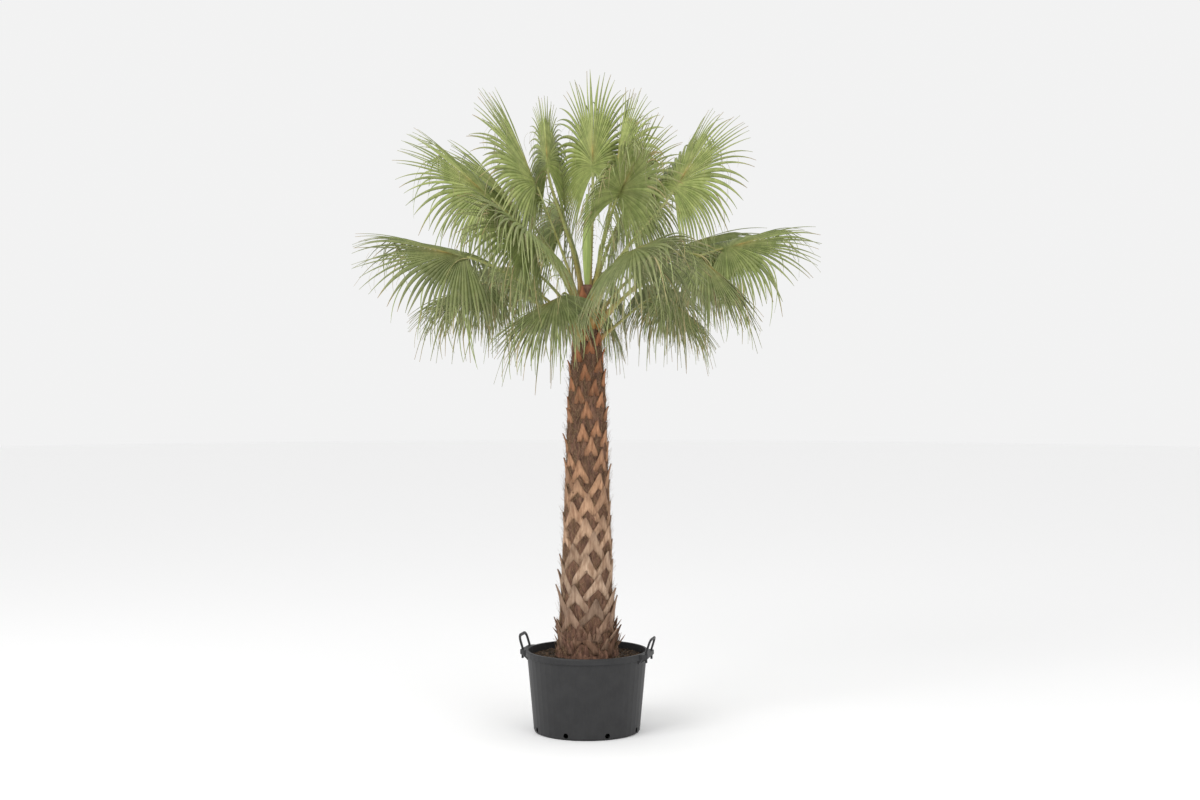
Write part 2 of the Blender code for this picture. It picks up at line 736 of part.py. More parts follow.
def stem_sections(frond):
    """Rings of points along a stem, and its heading at its foot.

    The last ring is the point in which the stem ends on the blade.
    """
    along, across, upper = fan_axes(frond)
    fine = stem_line(frond, STEM_LINE_STEPS)
    walked = np.concatenate([[0.0], np.cumsum(np.linalg.norm(np.diff(fine, axis=0), axis=1))])
    wanted = np.linspace(0.0, walked[-1], STEM_STEPS + 1)
    line = np.stack([np.interp(wanted, walked, fine[:, axis]) for axis in range(3)], axis=1)
    heading = unit(np.gradient(line, axis=0))
    heading[-1] = along
    level = unit(np.cross([0.0, 0.0, 1.0], frond.outward))
    across = across if np.dot(level, across) > 0.0 else -across
    rings = []
    for number in range(STEM_STEPS + 1):
        share = number / STEM_STEPS
        blend = level * (1.0 - share) + across * share
        side = unit(blend - heading[number] * np.dot(blend, heading[number]))
        width = STEM_FOOT_WIDTH + (STEM_TIP_WIDTH - STEM_FOOT_WIDTH) * share**STEM_TAPER
        rings.append(stem_ring(line[number], side, np.cross(heading[number], side), width))
    point = frond.hub + along * HASTULA_LENGTH + upper * above_blade(HASTULA_WIDTH)
    rings.append(stem_ring(point, across, np.cross(along, across), HASTULA_WIDTH))
    return rings, heading[0]


def stem_ring(middle, side, depth, width):
    ring = []
    for step in range(STEM_SIDES):
        angle = step * 2.0 * math.pi / STEM_SIDES
        offset = side * math.cos(angle) + depth * math.sin(angle) * STEM_DEPTH_SHARE
        ring.append(middle + offset * width / 2.0)
    return ring


def seat_on_trunk(frond, foot, heading, trunk):
    """Slides the foot's flat end along the stem until it lies just clear of the trunk."""
    normal = unit(frond.outward + np.array([0.0, 0.0, TRUNK_TIP_SLOPE]))
    middle = np.mean(foot, axis=0)
    seated = foot
    for step in range(SEAT_TRIES):
        plane = middle + normal * (SEAT_START - step * SEAT_STEP)
        ring = []
        for point in foot:
            slide = np.dot(plane - point, normal) / np.dot(heading, normal)
            ring.append(point + heading * slide)
        samples = ring + [np.mean(ring, axis=0)]
        samples += [(a + b) / 2.0 for a, b in zip(ring, ring[1:] + ring[:1])]
        if trunk.distance(samples) < GAP:
            break
        seated = ring
    return seated


def stem_solid(frond, trunk):
    rings, heading = stem_sections(frond)
    rings[0] = seat_on_trunk(frond, rings[0], heading, trunk)
    points = [point for ring in rings for point in ring]
    return Solid(points, ring_faces(len(rings), STEM_SIDES))


class Trimmer:
    """Keeps blades apart: leaves out sectors, and shortens fingers, that would touch a piece."""

    def __init__(self, fans, stems, fixed):
        self.fans = fans
        self.stems = stems
        self.fixed = fixed
        self.blades = [[] for _ in fans]

    def blocked(self, solid, number, own_fingers=()):
        """Whether a solid of fan number touches anything that isn't its own stem or blade."""
        if any(solid.meets(other) for other in self.fixed):
            return True
        if any(solid.meets(stem) for place, stem in enumerate(self.stems) if place != number):
            return True
        others = [piece for place, found in enumerate(self.blades) if place != number for piece in found]
        return any(solid.meets(piece) for piece in [*others, *own_fingers])

    def grow_sectors(self, number, fan):
        """Takes sectors from the middle out to each side, up to the first one that is blocked."""
        roots = FINGER_STATIONS[: FUSED_STATIONS + 1]
        middle = FINGER_COUNT // 2
        self.blades[number].append(fan.test_solid(middle, roots))
        reached = {}
        for step in (-1, 1):
            index = middle + step
            while 0 <= index < FINGER_COUNT:
                sector = fan.test_solid(index, roots)
                exact = fan.test_solid(index, roots, extra=0.0)
                if self.blocked(sector, number) or exact.meets(self.stems[number]):
                    break
                self.blades[number].append(sector)
                index += step
            reached[step] = index - step
        fan.first, fan.last = reached[-1], reached[1]

    def grow_fingers(self, number, fan):
        """Gives each finger the greatest length that stays clear, from the middle outwards."""
        middle = FINGER_COUNT // 2
        fingers = []
        for index in sorted(range(fan.first, fan.last + 1), key=lambda place: abs(place - middle)):
            fan.lengths[index] = 0.0
            for length in SHORTER_TRIES:
                solid = fan.test_solid(index, FINGER_STATIONS[FUSED_STATIONS:], length)
                if not self.blocked(solid, number):
                    fan.lengths[index] = length
                    fingers.append(solid)
                    break
        self.blades[number] += fingers

    def run(self):
        for number, fan in enumerate(self.fans):
            self.grow_sectors(number, fan)
        for number, fan in enumerate(self.fans):
            self.grow_fingers(number, fan)


def make_fronds(trunk, spear, stem_material, leaf_material):
    trunk_solid = Solid.of_object(trunk)
    fans = [Fan(frond) for frond in FRONDS]
    stems = [stem_solid(frond, trunk_solid) for frond in FRONDS]
    Trimmer(fans, stems, [trunk_solid, Solid.of_object(spear)]).run()
    for number, (fan, stem) in enumerate(zip(fans, stems), start=1):
        make_object(f"stem_{number:02d}", stem.points, stem.faces, stem_material)
        make_object(f"fan_{number:02d}", *fan.mesh(), leaf_material)


def main():
    clear_scene()
    black = make_material("black_plastic", BLACK_PLASTIC, 0.55)
    bark = make_material("trunk_bark", BARE_BARK, 0.9)
    stem_green = make_material("stem_green", STEM_GREEN, 0.5)
    leaf_green = make_material("leaf_green", LEAF_GREEN, 0.55)
    make_pot(black)
    make_loop("loop_left", -1.0, black)
    make_loop("loop_right", 1.0, black)
    make_soil(make_material("potting_mix", POTTING_MIX, 0.95))
    trunk = make_trunk(bark)
    spear = make_spear(stem_green)
    make_fronds(trunk, spear, stem_green, leaf_green)


main()
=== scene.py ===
"""Lengths are metres, +Z is up and the origin is the middle of the pot's underside. The pot and
its loops keep their solids. The trunk, mix, stems, spear leaf and fans are replaced by finer
meshes, which are numpy grid surfaces joined by kind and grown by the rule of the solids.

A field whose name ends in range holds the least and the most of what is drawn at random, and
one that ends in loss says how much less the far end has. The local name s is the share of the
way along a line, from 0 to 1.
"""

import json
import logging
import math
from dataclasses import dataclass, field
from enum import Enum

import bpy
import numpy as np
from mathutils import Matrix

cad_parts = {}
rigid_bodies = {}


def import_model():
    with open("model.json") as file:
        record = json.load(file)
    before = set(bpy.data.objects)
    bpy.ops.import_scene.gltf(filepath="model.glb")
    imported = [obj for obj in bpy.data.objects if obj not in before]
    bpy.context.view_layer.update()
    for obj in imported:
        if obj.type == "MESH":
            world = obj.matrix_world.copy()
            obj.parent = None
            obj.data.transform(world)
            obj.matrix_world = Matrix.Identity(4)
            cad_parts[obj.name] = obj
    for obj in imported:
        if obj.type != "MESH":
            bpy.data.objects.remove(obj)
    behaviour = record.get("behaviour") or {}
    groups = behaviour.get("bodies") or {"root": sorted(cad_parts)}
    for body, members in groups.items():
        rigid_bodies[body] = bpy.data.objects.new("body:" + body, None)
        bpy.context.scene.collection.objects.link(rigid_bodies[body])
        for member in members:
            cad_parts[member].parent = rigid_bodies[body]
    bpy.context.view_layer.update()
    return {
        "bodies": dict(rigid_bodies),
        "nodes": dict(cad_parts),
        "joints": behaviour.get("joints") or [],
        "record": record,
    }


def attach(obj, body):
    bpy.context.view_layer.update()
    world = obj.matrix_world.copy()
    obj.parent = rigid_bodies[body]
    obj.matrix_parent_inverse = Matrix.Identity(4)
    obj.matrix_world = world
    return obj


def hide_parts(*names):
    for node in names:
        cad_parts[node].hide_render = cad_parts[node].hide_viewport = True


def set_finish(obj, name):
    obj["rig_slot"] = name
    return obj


Array = np.ndarray
Rng = np.random.Generator
Pair = tuple[float, float]
Triple = tuple[float, float, float]
Waves = tuple[Pair, Pair]
Section = tuple[Pair, ...]

LOG = logging.getLogger("palm")
SEED = 20
MOST_TRIANGLES = 190_000
UP = np.array([0.0, 0.0, 1.0])
LEVEL = np.array([1.0, 1.0, 0.0])
WHITE = (1.0, 1.0, 1.0)
TRIANGLE = ((1.0, 0.0), (-0.5, -0.87), (-0.5, 0.87))
GOLDEN_ANGLE = math.radians(137.508)

# Trunk: height and radius of the core, and the heights between which it has bark
TRUNK_CORE = (
    (0.4003, 0.166), (0.450, 0.152), (0.520, 0.142), (0.700, 0.129), (0.960, 0.120),
    (1.300, 0.107), (1.500, 0.102), (1.710, 0.094), (1.890, 0.083), (2.000, 0.072),
    (2.080, 0.064), (2.180, 0.054), (2.280, 0.040), (2.330, 0.024),
)
BARK_FOOT = 0.405
BARK_TOP = 2.250

# Crown, with angles in degrees
FRONT_VIEW_TURN = 13.5
CROWN_FOOT = 2.045
CROWN_FOOT_RISE = 0.225
CROWN_LOW_HUB = 2.240
CROWN_HIGH_HUB = 2.950
STEM_FOOT_DEPTH = 0.006
STEM_LOW_LIFT = 28.0
STEM_LIFT_RISE = 54.0
STEM_FOOT_HANDLE = 0.38
STEM_HUB_HANDLE = 0.25
STEM_ABOVE_BLADE = 0.0070

# Tints, as linear colours
CRUMB_BROWNS = ((0.085, 0.052, 0.030), (0.045, 0.029, 0.018), (0.17, 0.11, 0.065))
BASE_GREY = (0.46, 0.36, 0.27)
BASE_TAN = (0.37, 0.215, 0.125)
BASE_ORANGE = (0.33, 0.135, 0.058)
BASE_FOOT_BROWN = (0.16, 0.085, 0.050)
STUB_DARK = (0.17, 0.085, 0.055)
STUB_WORN = (0.33, 0.22, 0.15)
FIBRE_PALE = (0.42, 0.30, 0.17)
FIBRE_RED = (0.17, 0.075, 0.035)
STEM_GREEN = (0.30, 0.33, 0.12)
STEM_BROWN = (0.42, 0.22, 0.07)
BLADE_DEEP = (0.155, 0.185, 0.062)
BLADE_FRESH = (0.340, 0.385, 0.130)
BLADE_OLD = (0.215, 0.235, 0.090)
BLADE_PALE = (0.42, 0.41, 0.24)
BLADE_DRY = (0.38, 0.25, 0.11)
BLADE_RIB = (0.50, 0.33, 0.09)
RIBBON_PALE = (0.36, 0.40, 0.17)
RIBBON_TAN = (0.44, 0.37, 0.18)


def unit(vectors: Array) -> Array:
    """Vectors at length one."""
    size = np.linalg.norm(vectors, axis=-1, keepdims=True)
    return vectors / np.maximum(size, 1e-9)


def smooth(share: Array) -> Array:
    """Share eased at both ends, clipped to 0 and 1."""
    share = np.clip(share, 0.0, 1.0)
    return share * share * (3.0 - 2.0 * share)


def blend(first: Array | Triple, second: Array | Triple, share: Array | float) -> Array:
    """The first value at share 0, the second at share 1, and a mix of both between."""
    return np.asarray(first) * (1.0 - share) + np.asarray(second) * share


def even_turns(count: int) -> Array:
    """Angles that divide a full turn evenly."""
    return np.arange(count) * 2.0 * np.pi / count


def around_axis(radius: Array | float, turn: Array, height: Array | float) -> Array:
    """Points at a radius, turn and height about the trunk's axis."""
    parts = np.broadcast_arrays(radius * np.cos(turn), radius * np.sin(turn), height)
    return np.stack(parts, axis=-1)


def headings(lines: Array) -> Array:
    """Unit vectors along lines, whose points run on the last axis but one."""
    return unit(np.gradient(lines, axis=-2))


def crossing_waves(first: Array, second: Array, waves: Waves) -> Array:
    """Product of two sine waves, each given by its frequencies along two directions."""
    (a, b), (c, d) = waves
    return np.sin(a * first + b * second) * np.sin(c * first + d * second)


def sweep(lines: Array, side: Array, face: Array, section: Section, size: Array | float) -> Array:
    """Rings round lines. A point of the section lies so many sizes to the side and off the face."""
    return np.stack([lines + size * (a * side + b * face) for a, b in section], axis=-2)


def trunk_radius(height: Array | float) -> Array:
    """Radius of the core at a height."""
    heights, radii = zip(*TRUNK_CORE)
    return np.interp(height, heights, radii)


def level_vector(degrees: float) -> Array:
    """Level unit vector at a turn in the front view's axes."""
    turn = math.radians(degrees + FRONT_VIEW_TURN)
    return np.array([math.cos(turn), math.sin(turn), 0.0])


class Kind(Enum):
    """Kinds of joined mesh, named as their objects."""

    MIX = "potting_mix_surface"
    CRUMBS = "bark_crumbs"
    CORE = "trunk_matting"
    BASES = "leaf_bases"
    FIBRES = "trunk_fibres"
    STEMS = "leaf_stems"
    TEETH = "stem_teeth"
    SPEAR = "spear_blade"
    BLADES = "fan_blades"
    THREADS = "fan_threads"


def set_inputs(node: bpy.types.Node, **values: float | tuple[float, ...]) -> None:
    """Sets inputs of a node by their names, with an underscore for each space."""
    for name, value in values.items():
        node.inputs[name.replace("_", " ")].default_value = value


@dataclass(frozen=True)
class Finish:
    """A procedural finish. A noise mixes the dark tone into the colour and may raise bumps.

    A grain below 1 draws the noise out along the height, and a tinted finish is multiplied by
    the mesh's own tint.
    """

    name: str
    colour: Triple
    dark: Triple
    roughness: float
    scale: float
    grain: float = 1.0
    bump: float = 0.0
    tinted: bool = False
    specular: float = 0.35
    noise_detail: float = 6.0
    noise_roughness: float = 0.62
    noise_low: float = 0.36
    noise_high: float = 0.62
    bump_height: float = 0.004

    def material(self) -> bpy.types.Material:
        """Builds the finish.

        Returns:
            The material.
        """
        material = bpy.data.materials.new(self.name)
        material.use_nodes = True
        nodes, links = material.node_tree.nodes, material.node_tree.links
        shader = nodes["Principled BSDF"]
        set_inputs(shader, Roughness=self.roughness, Specular_IOR_Level=self.specular)
        place = nodes.new("ShaderNodeTexCoord")
        mapping = nodes.new("ShaderNodeMapping")
        set_inputs(mapping, Scale=(1.0, 1.0, self.grain))
        links.new(place.outputs["Object"], mapping.inputs["Vector"])
        noise = nodes.new("ShaderNodeTexNoise")
        set_inputs(noise, Scale=self.scale, Detail=self.noise_detail, Roughness=self.noise_roughness)
        links.new(mapping.outputs["Vector"], noise.inputs["Vector"])
        ramp = nodes.new("ShaderNodeMapRange")
        set_inputs(ramp, From_Min=self.noise_low, From_Max=self.noise_high)
        links.new(noise.outputs["Fac"], ramp.inputs["Value"])
        mix = nodes.new("ShaderNodeMix")
        mix.data_type = "RGBA"
        set_inputs(mix, A=(*self.dark, 1.0), B=(*self.colour, 1.0))
        links.new(ramp.outputs["Result"], mix.inputs["Factor"])
        base = mix.outputs["Result"]
        if self.tinted:
            tint = nodes.new("ShaderNodeAttribute")
            tint.attribute_name = "tint"
            times = nodes.new("ShaderNodeMix")
            times.data_type = "RGBA"
            times.blend_type = "MULTIPLY"
            set_inputs(times, Factor=1.0)
            links.new(tint.outputs["Color"], times.inputs["A"])
            links.new(base, times.inputs["B"])
            base = times.outputs["Result"]
        links.new(base, shader.inputs["Base Color"])
        if self.bump:
            bump = nodes.new("ShaderNodeBump")
            set_inputs(bump, Strength=self.bump, Distance=self.bump_height)
            links.new(noise.outputs["Fac"], bump.inputs["Height"])
            links.new(bump.outputs["Normal"], shader.inputs["Normal"])
        return material


POT_PLASTIC = Finish("pot_plastic", (0.026, 0.026, 0.027), (0.020, 0.020, 0.021), 0.52, 14.0, bump=0.05)
LOOP_PLASTIC = Finish("loop_plastic", (0.022, 0.022, 0.023), (0.017, 0.017, 0.018), 0.48, 20.0)
FINISHES = {
    Kind.MIX: Finish("damp_mix", (0.070, 0.046, 0.029), (0.022, 0.015, 0.010), 0.95, 60.0, bump=0.8),
    Kind.CRUMBS: Finish("bark_crumb", WHITE, (0.4, 0.4, 0.4), 0.95, 90.0, bump=0.5, tinted=True),
    Kind.CORE: Finish(
        "fibre_matting", (0.225, 0.120, 0.078), (0.070, 0.036, 0.025), 0.95, 55.0, grain=0.25, bump=0.9
    ),
    Kind.BASES: Finish(
        "leaf_base_skin", WHITE, (0.52, 0.45, 0.40), 0.78, 60.0, grain=0.18, bump=0.6, tinted=True
    ),
    Kind.FIBRES: Finish("dry_fibre", WHITE, (0.55, 0.5, 0.45), 0.9, 80.0, tinted=True),
    Kind.STEMS: Finish("stem_skin", WHITE, (0.72, 0.66, 0.45), 0.42, 18.0, tinted=True),
    Kind.TEETH: Finish("tooth_horn", (0.22, 0.11, 0.04), (0.10, 0.05, 0.02), 0.45, 40.0),
    Kind.SPEAR: Finish(
        "spear_skin", (0.42, 0.50, 0.16), (0.26, 0.34, 0.10), 0.5, 40.0, grain=0.1, bump=0.4
    ),
    Kind.BLADES: Finish("leaf_blade", WHITE, (0.66, 0.72, 0.60), 0.48, 26.0, tinted=True),
    Kind.THREADS: Finish("leaf_thread", (0.55, 0.50, 0.32), (0.36, 0.30, 0.17), 0.7, 30.0),
}


def place_piece(obj: bpy.types.Object, slot: str, *nodes: str) -> None:
    """Lets a piece ride on the part, take a material slot and stand for CAD nodes.

    Args:
        obj: the piece.
        slot: the material slot that it takes.
        nodes: the CAD nodes that it replaces, if any.
    """
    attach(obj, "root")
    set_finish(obj, slot)
    if nodes:
        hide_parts(*nodes)


@dataclass
class Skin:
    """Batches of closed tubes of one kind: their points, faces and a tint for each point."""

    kind: Kind
    points: list[Array] = field(default_factory=list)
    quads: list[Array] = field(default_factory=list)
    tints: list[Array] = field(default_factory=list)
    count: int = 0

    def tubes(self, rings: Array, tint: Array | Triple) -> None:
        """Adds a batch of closed tubes.

        Args:
            rings: points as (tube, station, side, 3), turning left seen from the last station.
            tint: one colour, or colours that broadcast to (tube, station, side, 3).
        """
        tubes, stations, sides, _ = rings.shape
        station, side = np.meshgrid(np.arange(stations - 1), np.arange(sides), indexing="ij")
        here = station * sides + side
        beside = station * sides + (side + 1) % sides
        wall = np.stack([here, beside, beside + sides, here + sides], axis=-1).reshape(-1, 4)
        foot = np.array([(0, min(low + 2, sides - 1), low + 1, low) for low in range(1, sides - 1, 2)])
        top = foot[:, ::-1] + (stations - 1) * sides
        quads = np.concatenate([wall, foot, top])
        firsts = self.count + np.arange(tubes)[:, None, None] * stations * sides
        self.points.append(rings.reshape(-1, 3))
        self.quads.append((quads + firsts).reshape(-1, 4))
        self.tints.append(np.broadcast_to(tint, rings.shape).reshape(-1, 3))
        self.count += tubes * stations * sides

    def dress(self, slot: str, *nodes: str, flat: bool = False) -> None:
        """Makes the mesh objects, each under the limit on triangles, and places them.

        Args:
            slot: the material slot that they take.
            nodes: the CAD nodes that each of them replaces.
            flat: whether faces stay flat shaded.
        """
        material = FINISHES[self.kind].material()
        groups, weight = [[]], 0
        for number, quads in enumerate(self.quads):
            if weight + 2 * len(quads) > MOST_TRIANGLES:
                groups.append([])
                weight = 0
            groups[-1].append(number)
            weight += 2 * len(quads)
        for part, numbers in enumerate(groups, start=1):
            name = self.kind.value if len(groups) == 1 else f"{self.kind.value}_{part}"
            obj = self.mesh_object(name, numbers, flat)
            obj.data.materials.append(material)
            place_piece(obj, slot, *nodes)

    def mesh_object(self, name: str, numbers: list[int], flat: bool) -> bpy.types.Object:
        """Makes a mesh object of some batches of tubes. A quad that names a point twice becomes
        a triangle, and the tints become a colour attribute.

        Args:
            name: the name of the mesh and the object.
            numbers: the numbers of the batches, which follow each other.
            flat: whether faces stay flat shaded.

        Returns:
            The object, in the scene.
        """
        points, quads, tints = (
            np.concatenate([batches[number] for number in numbers])
            for batches in (self.points, self.quads, self.tints)
        )
        quads = quads - sum(len(batch) for batch in self.points[: numbers[0]])
        same = quads == np.roll(quads, -1, axis=1)
        three = same.any(axis=1)
        loops = np.concatenate([quads[~three].ravel(), quads[three][~same[three]].ravel()])
        sizes = np.concatenate([np.full((~three).sum(), 4), np.full(three.sum(), 3)])
        starts = np.concatenate([[0], np.cumsum(sizes)[:-1]])
        mesh = bpy.data.meshes.new(name)
        mesh.vertices.add(len(points))
        mesh.vertices.foreach_set("co", points.astype(np.float32).ravel())
        mesh.loops.add(len(loops))
        mesh.loops.foreach_set("vertex_index", loops.astype(np.int32))
        mesh.polygons.add(len(sizes))
        mesh.polygons.foreach_set("loop_start", starts.astype(np.int32))
        mesh.polygons.foreach_set("use_smooth", np.full(len(sizes), not flat))
        mesh.update(calc_edges=True)
        colours = mesh.attributes.new("tint", "FLOAT_COLOR", "POINT")
        full = np.concatenate([tints, np.ones((len(tints), 1))], axis=1)
        colours.data.foreach_set("color", full.astype(np.float32).ravel())
        obj = bpy.data.objects.new(name, mesh)
        bpy.context.scene.collection.objects.link(obj)
        return obj


@dataclass
class Growth:
    """What draws its random values from one source and adds its tubes to one skin."""

    rng: Rng
    skin: Skin


@dataclass
class Pot:
    """The pot and its loops, whose solids stay and get their finish."""

    frame: dict

    def dress(self) -> None:
        """Gives the kept solids their plastics."""
        pot = POT_PLASTIC.material()
        loop = LOOP_PLASTIC.material()
        for name, material in (("pot", pot), ("loop_left", loop), ("loop_right", loop)):
            obj = self.frame["nodes"][name]
            for place in range(len(obj.material_slots)):
                obj.material_slots[place].material = material


@dataclass
class PottingMix:
    """The mix: a closed mound with crumbs of bark on it."""

    rng: Rng
    edge_radius: float = 0.3015
    edge_height: float = 0.390
    top_height: float = 0.402
    underside: float = 0.33
    middle_radius: float = 0.004
    turns: int = 160
    rings: int = 44
    coarse_waves: Waves = ((91.0, 37.0), (-21.0, 83.0))
    fine_waves: Waves = ((211.0, -97.0), (140.0, 187.0))
    fine_share: float = 0.6
    wave_height: float = 0.0022
    crumb_count: int = 1500
    crumb_area_range: Pair = (0.28, 0.94)
    crumb_size_range: Pair = (0.003, 0.009)
    crumb_lift: float = 0.1
    crumb_steepness: float = 0.35
    crumb_length: float = 1.3
    crumb_width: float = 0.6
    crumb_flatness: float = 0.6
    crumb_twist: float = 0.6
    crumb_stations: tuple[float, ...] = (-1.0, -0.4, 0.5, 1.0)
    crumb_widths: tuple[float, ...] = (0.25, 0.9, 1.0, 0.3)

    def height(self, x: Array, y: Array) -> Array:
        """Height of the surface: a flat dome and four crossing waves that look crumbly.

        Args:
            x: places to the right.
            y: places to the back.

        Returns:
            The heights there.
        """
        fall = smooth(np.hypot(x, y) / self.edge_radius)
        dome = self.edge_height + (self.top_height - self.edge_height) * (1.0 - fall)
        rough = crossing_waves(x, y, self.coarse_waves)
        rough += self.fine_share * crossing_waves(x, y, self.fine_waves)
        return dome + self.wave_height * rough

    def add_mound(self) -> None:
        """Adds the mound: rings from its middle to its edge, and back along the underside."""
        turn = even_turns(self.turns)
        top = np.linspace(self.middle_radius, self.edge_radius, self.rings)
        radius = np.concatenate([top, [self.edge_radius, self.middle_radius]])[:, None]
        rings = around_axis(radius, turn, 0.0)
        rings[..., 2] = self.height(rings[..., 0], rings[..., 1])
        rings[-2:, :, 2] = self.underside
        skin = Skin(Kind.MIX)
        skin.tubes(rings[None, ::-1], WHITE)
        skin.dress("potting_mix", "potting_mix")

    def add_crumbs(self) -> None:
        """Adds the crumbs: lumps with four sides that lie on the surface at every heading."""
        count = self.crumb_count
        away = self.edge_radius * np.sqrt(self.rng.uniform(*self.crumb_area_range, count))
        angle = self.rng.uniform(0.0, 2.0 * np.pi, count)
        size = self.rng.uniform(*self.crumb_size_range, count)
        centre = around_axis(away, angle, 0.0)
        centre[:, 2] = self.height(centre[:, 0], centre[:, 1]) + self.crumb_lift * size
        heading = unit(self.rng.normal(size=(count, 3)) * (1.0, 1.0, self.crumb_steepness))
        side = unit(np.cross(heading, UP))
        face = np.cross(side, heading)
        size = size[:, None, None]
        along = np.array(self.crumb_stations)[:, None] * size * self.crumb_length
        middle = centre[:, None] + heading[:, None] * along
        corner = np.arange(4) * np.pi / 2.0 + self.crumb_twist
        section = tuple(zip(np.cos(corner), self.crumb_flatness * np.sin(corner)))
        half = np.array(self.crumb_widths)[:, None] * size * self.crumb_width
        rings = sweep(middle, side[:, None], face[:, None], section, half)
        browns = np.array(CRUMB_BROWNS)
        tint = browns[self.rng.integers(0, len(browns), count)][:, None, None]
        skin = Skin(Kind.CRUMBS)
        skin.tubes(rings[:, :, ::-1], tint)
        skin.dress("potting_mix", flat=True)

    def dress(self) -> None:
        """Builds the mound and its crumbs."""
        self.add_mound()
        self.add_crumbs()


@dataclass
class Matting:
    """The trunk's core, with a relief of woven ridges, lumps and fine swaying grooves."""

    skin: Skin
    turns: int = 200
    rows: int = 420
    foot_depth: float = 0.012
    weave_waves: Waves = ((18.0, 70.0), (18.0, -64.0))
    weave_depth: float = 0.0030
    lump_waves: Waves = ((5.0, 23.0), (7.0, -31.0))
    lump_depth: float = 0.0016
    groove_count: float = 60.0
    groove_sway: float = 9.0
    groove_waves: float = 40.0
    groove_depth: float = 0.0012
    fade_span: float = 0.12

    def add(self) -> None:
        """Adds the core: the trunk's radius and the relief, which fades out below the tip."""
        low, high = TRUNK_CORE[0][0] - self.foot_depth, TRUNK_CORE[-1][0]
        height = np.linspace(low, high, self.rows)[:, None]
        turn = even_turns(self.turns)
        weave = crossing_waves(turn, height, self.weave_waves)
        lumps = sum(np.sin(a * turn + b * height) for a, b in self.lump_waves)
        sway = self.groove_sway * np.sin(self.groove_waves * height)
        grooves = np.sin(self.groove_count * turn + sway)
        relief = self.weave_depth * weave + self.lump_depth * lumps + self.groove_depth * grooves
        radius = trunk_radius(height) + smooth((high - height) / self.fade_span) * relief
        self.skin.tubes(around_axis(radius, turn, height)[None], WHITE)


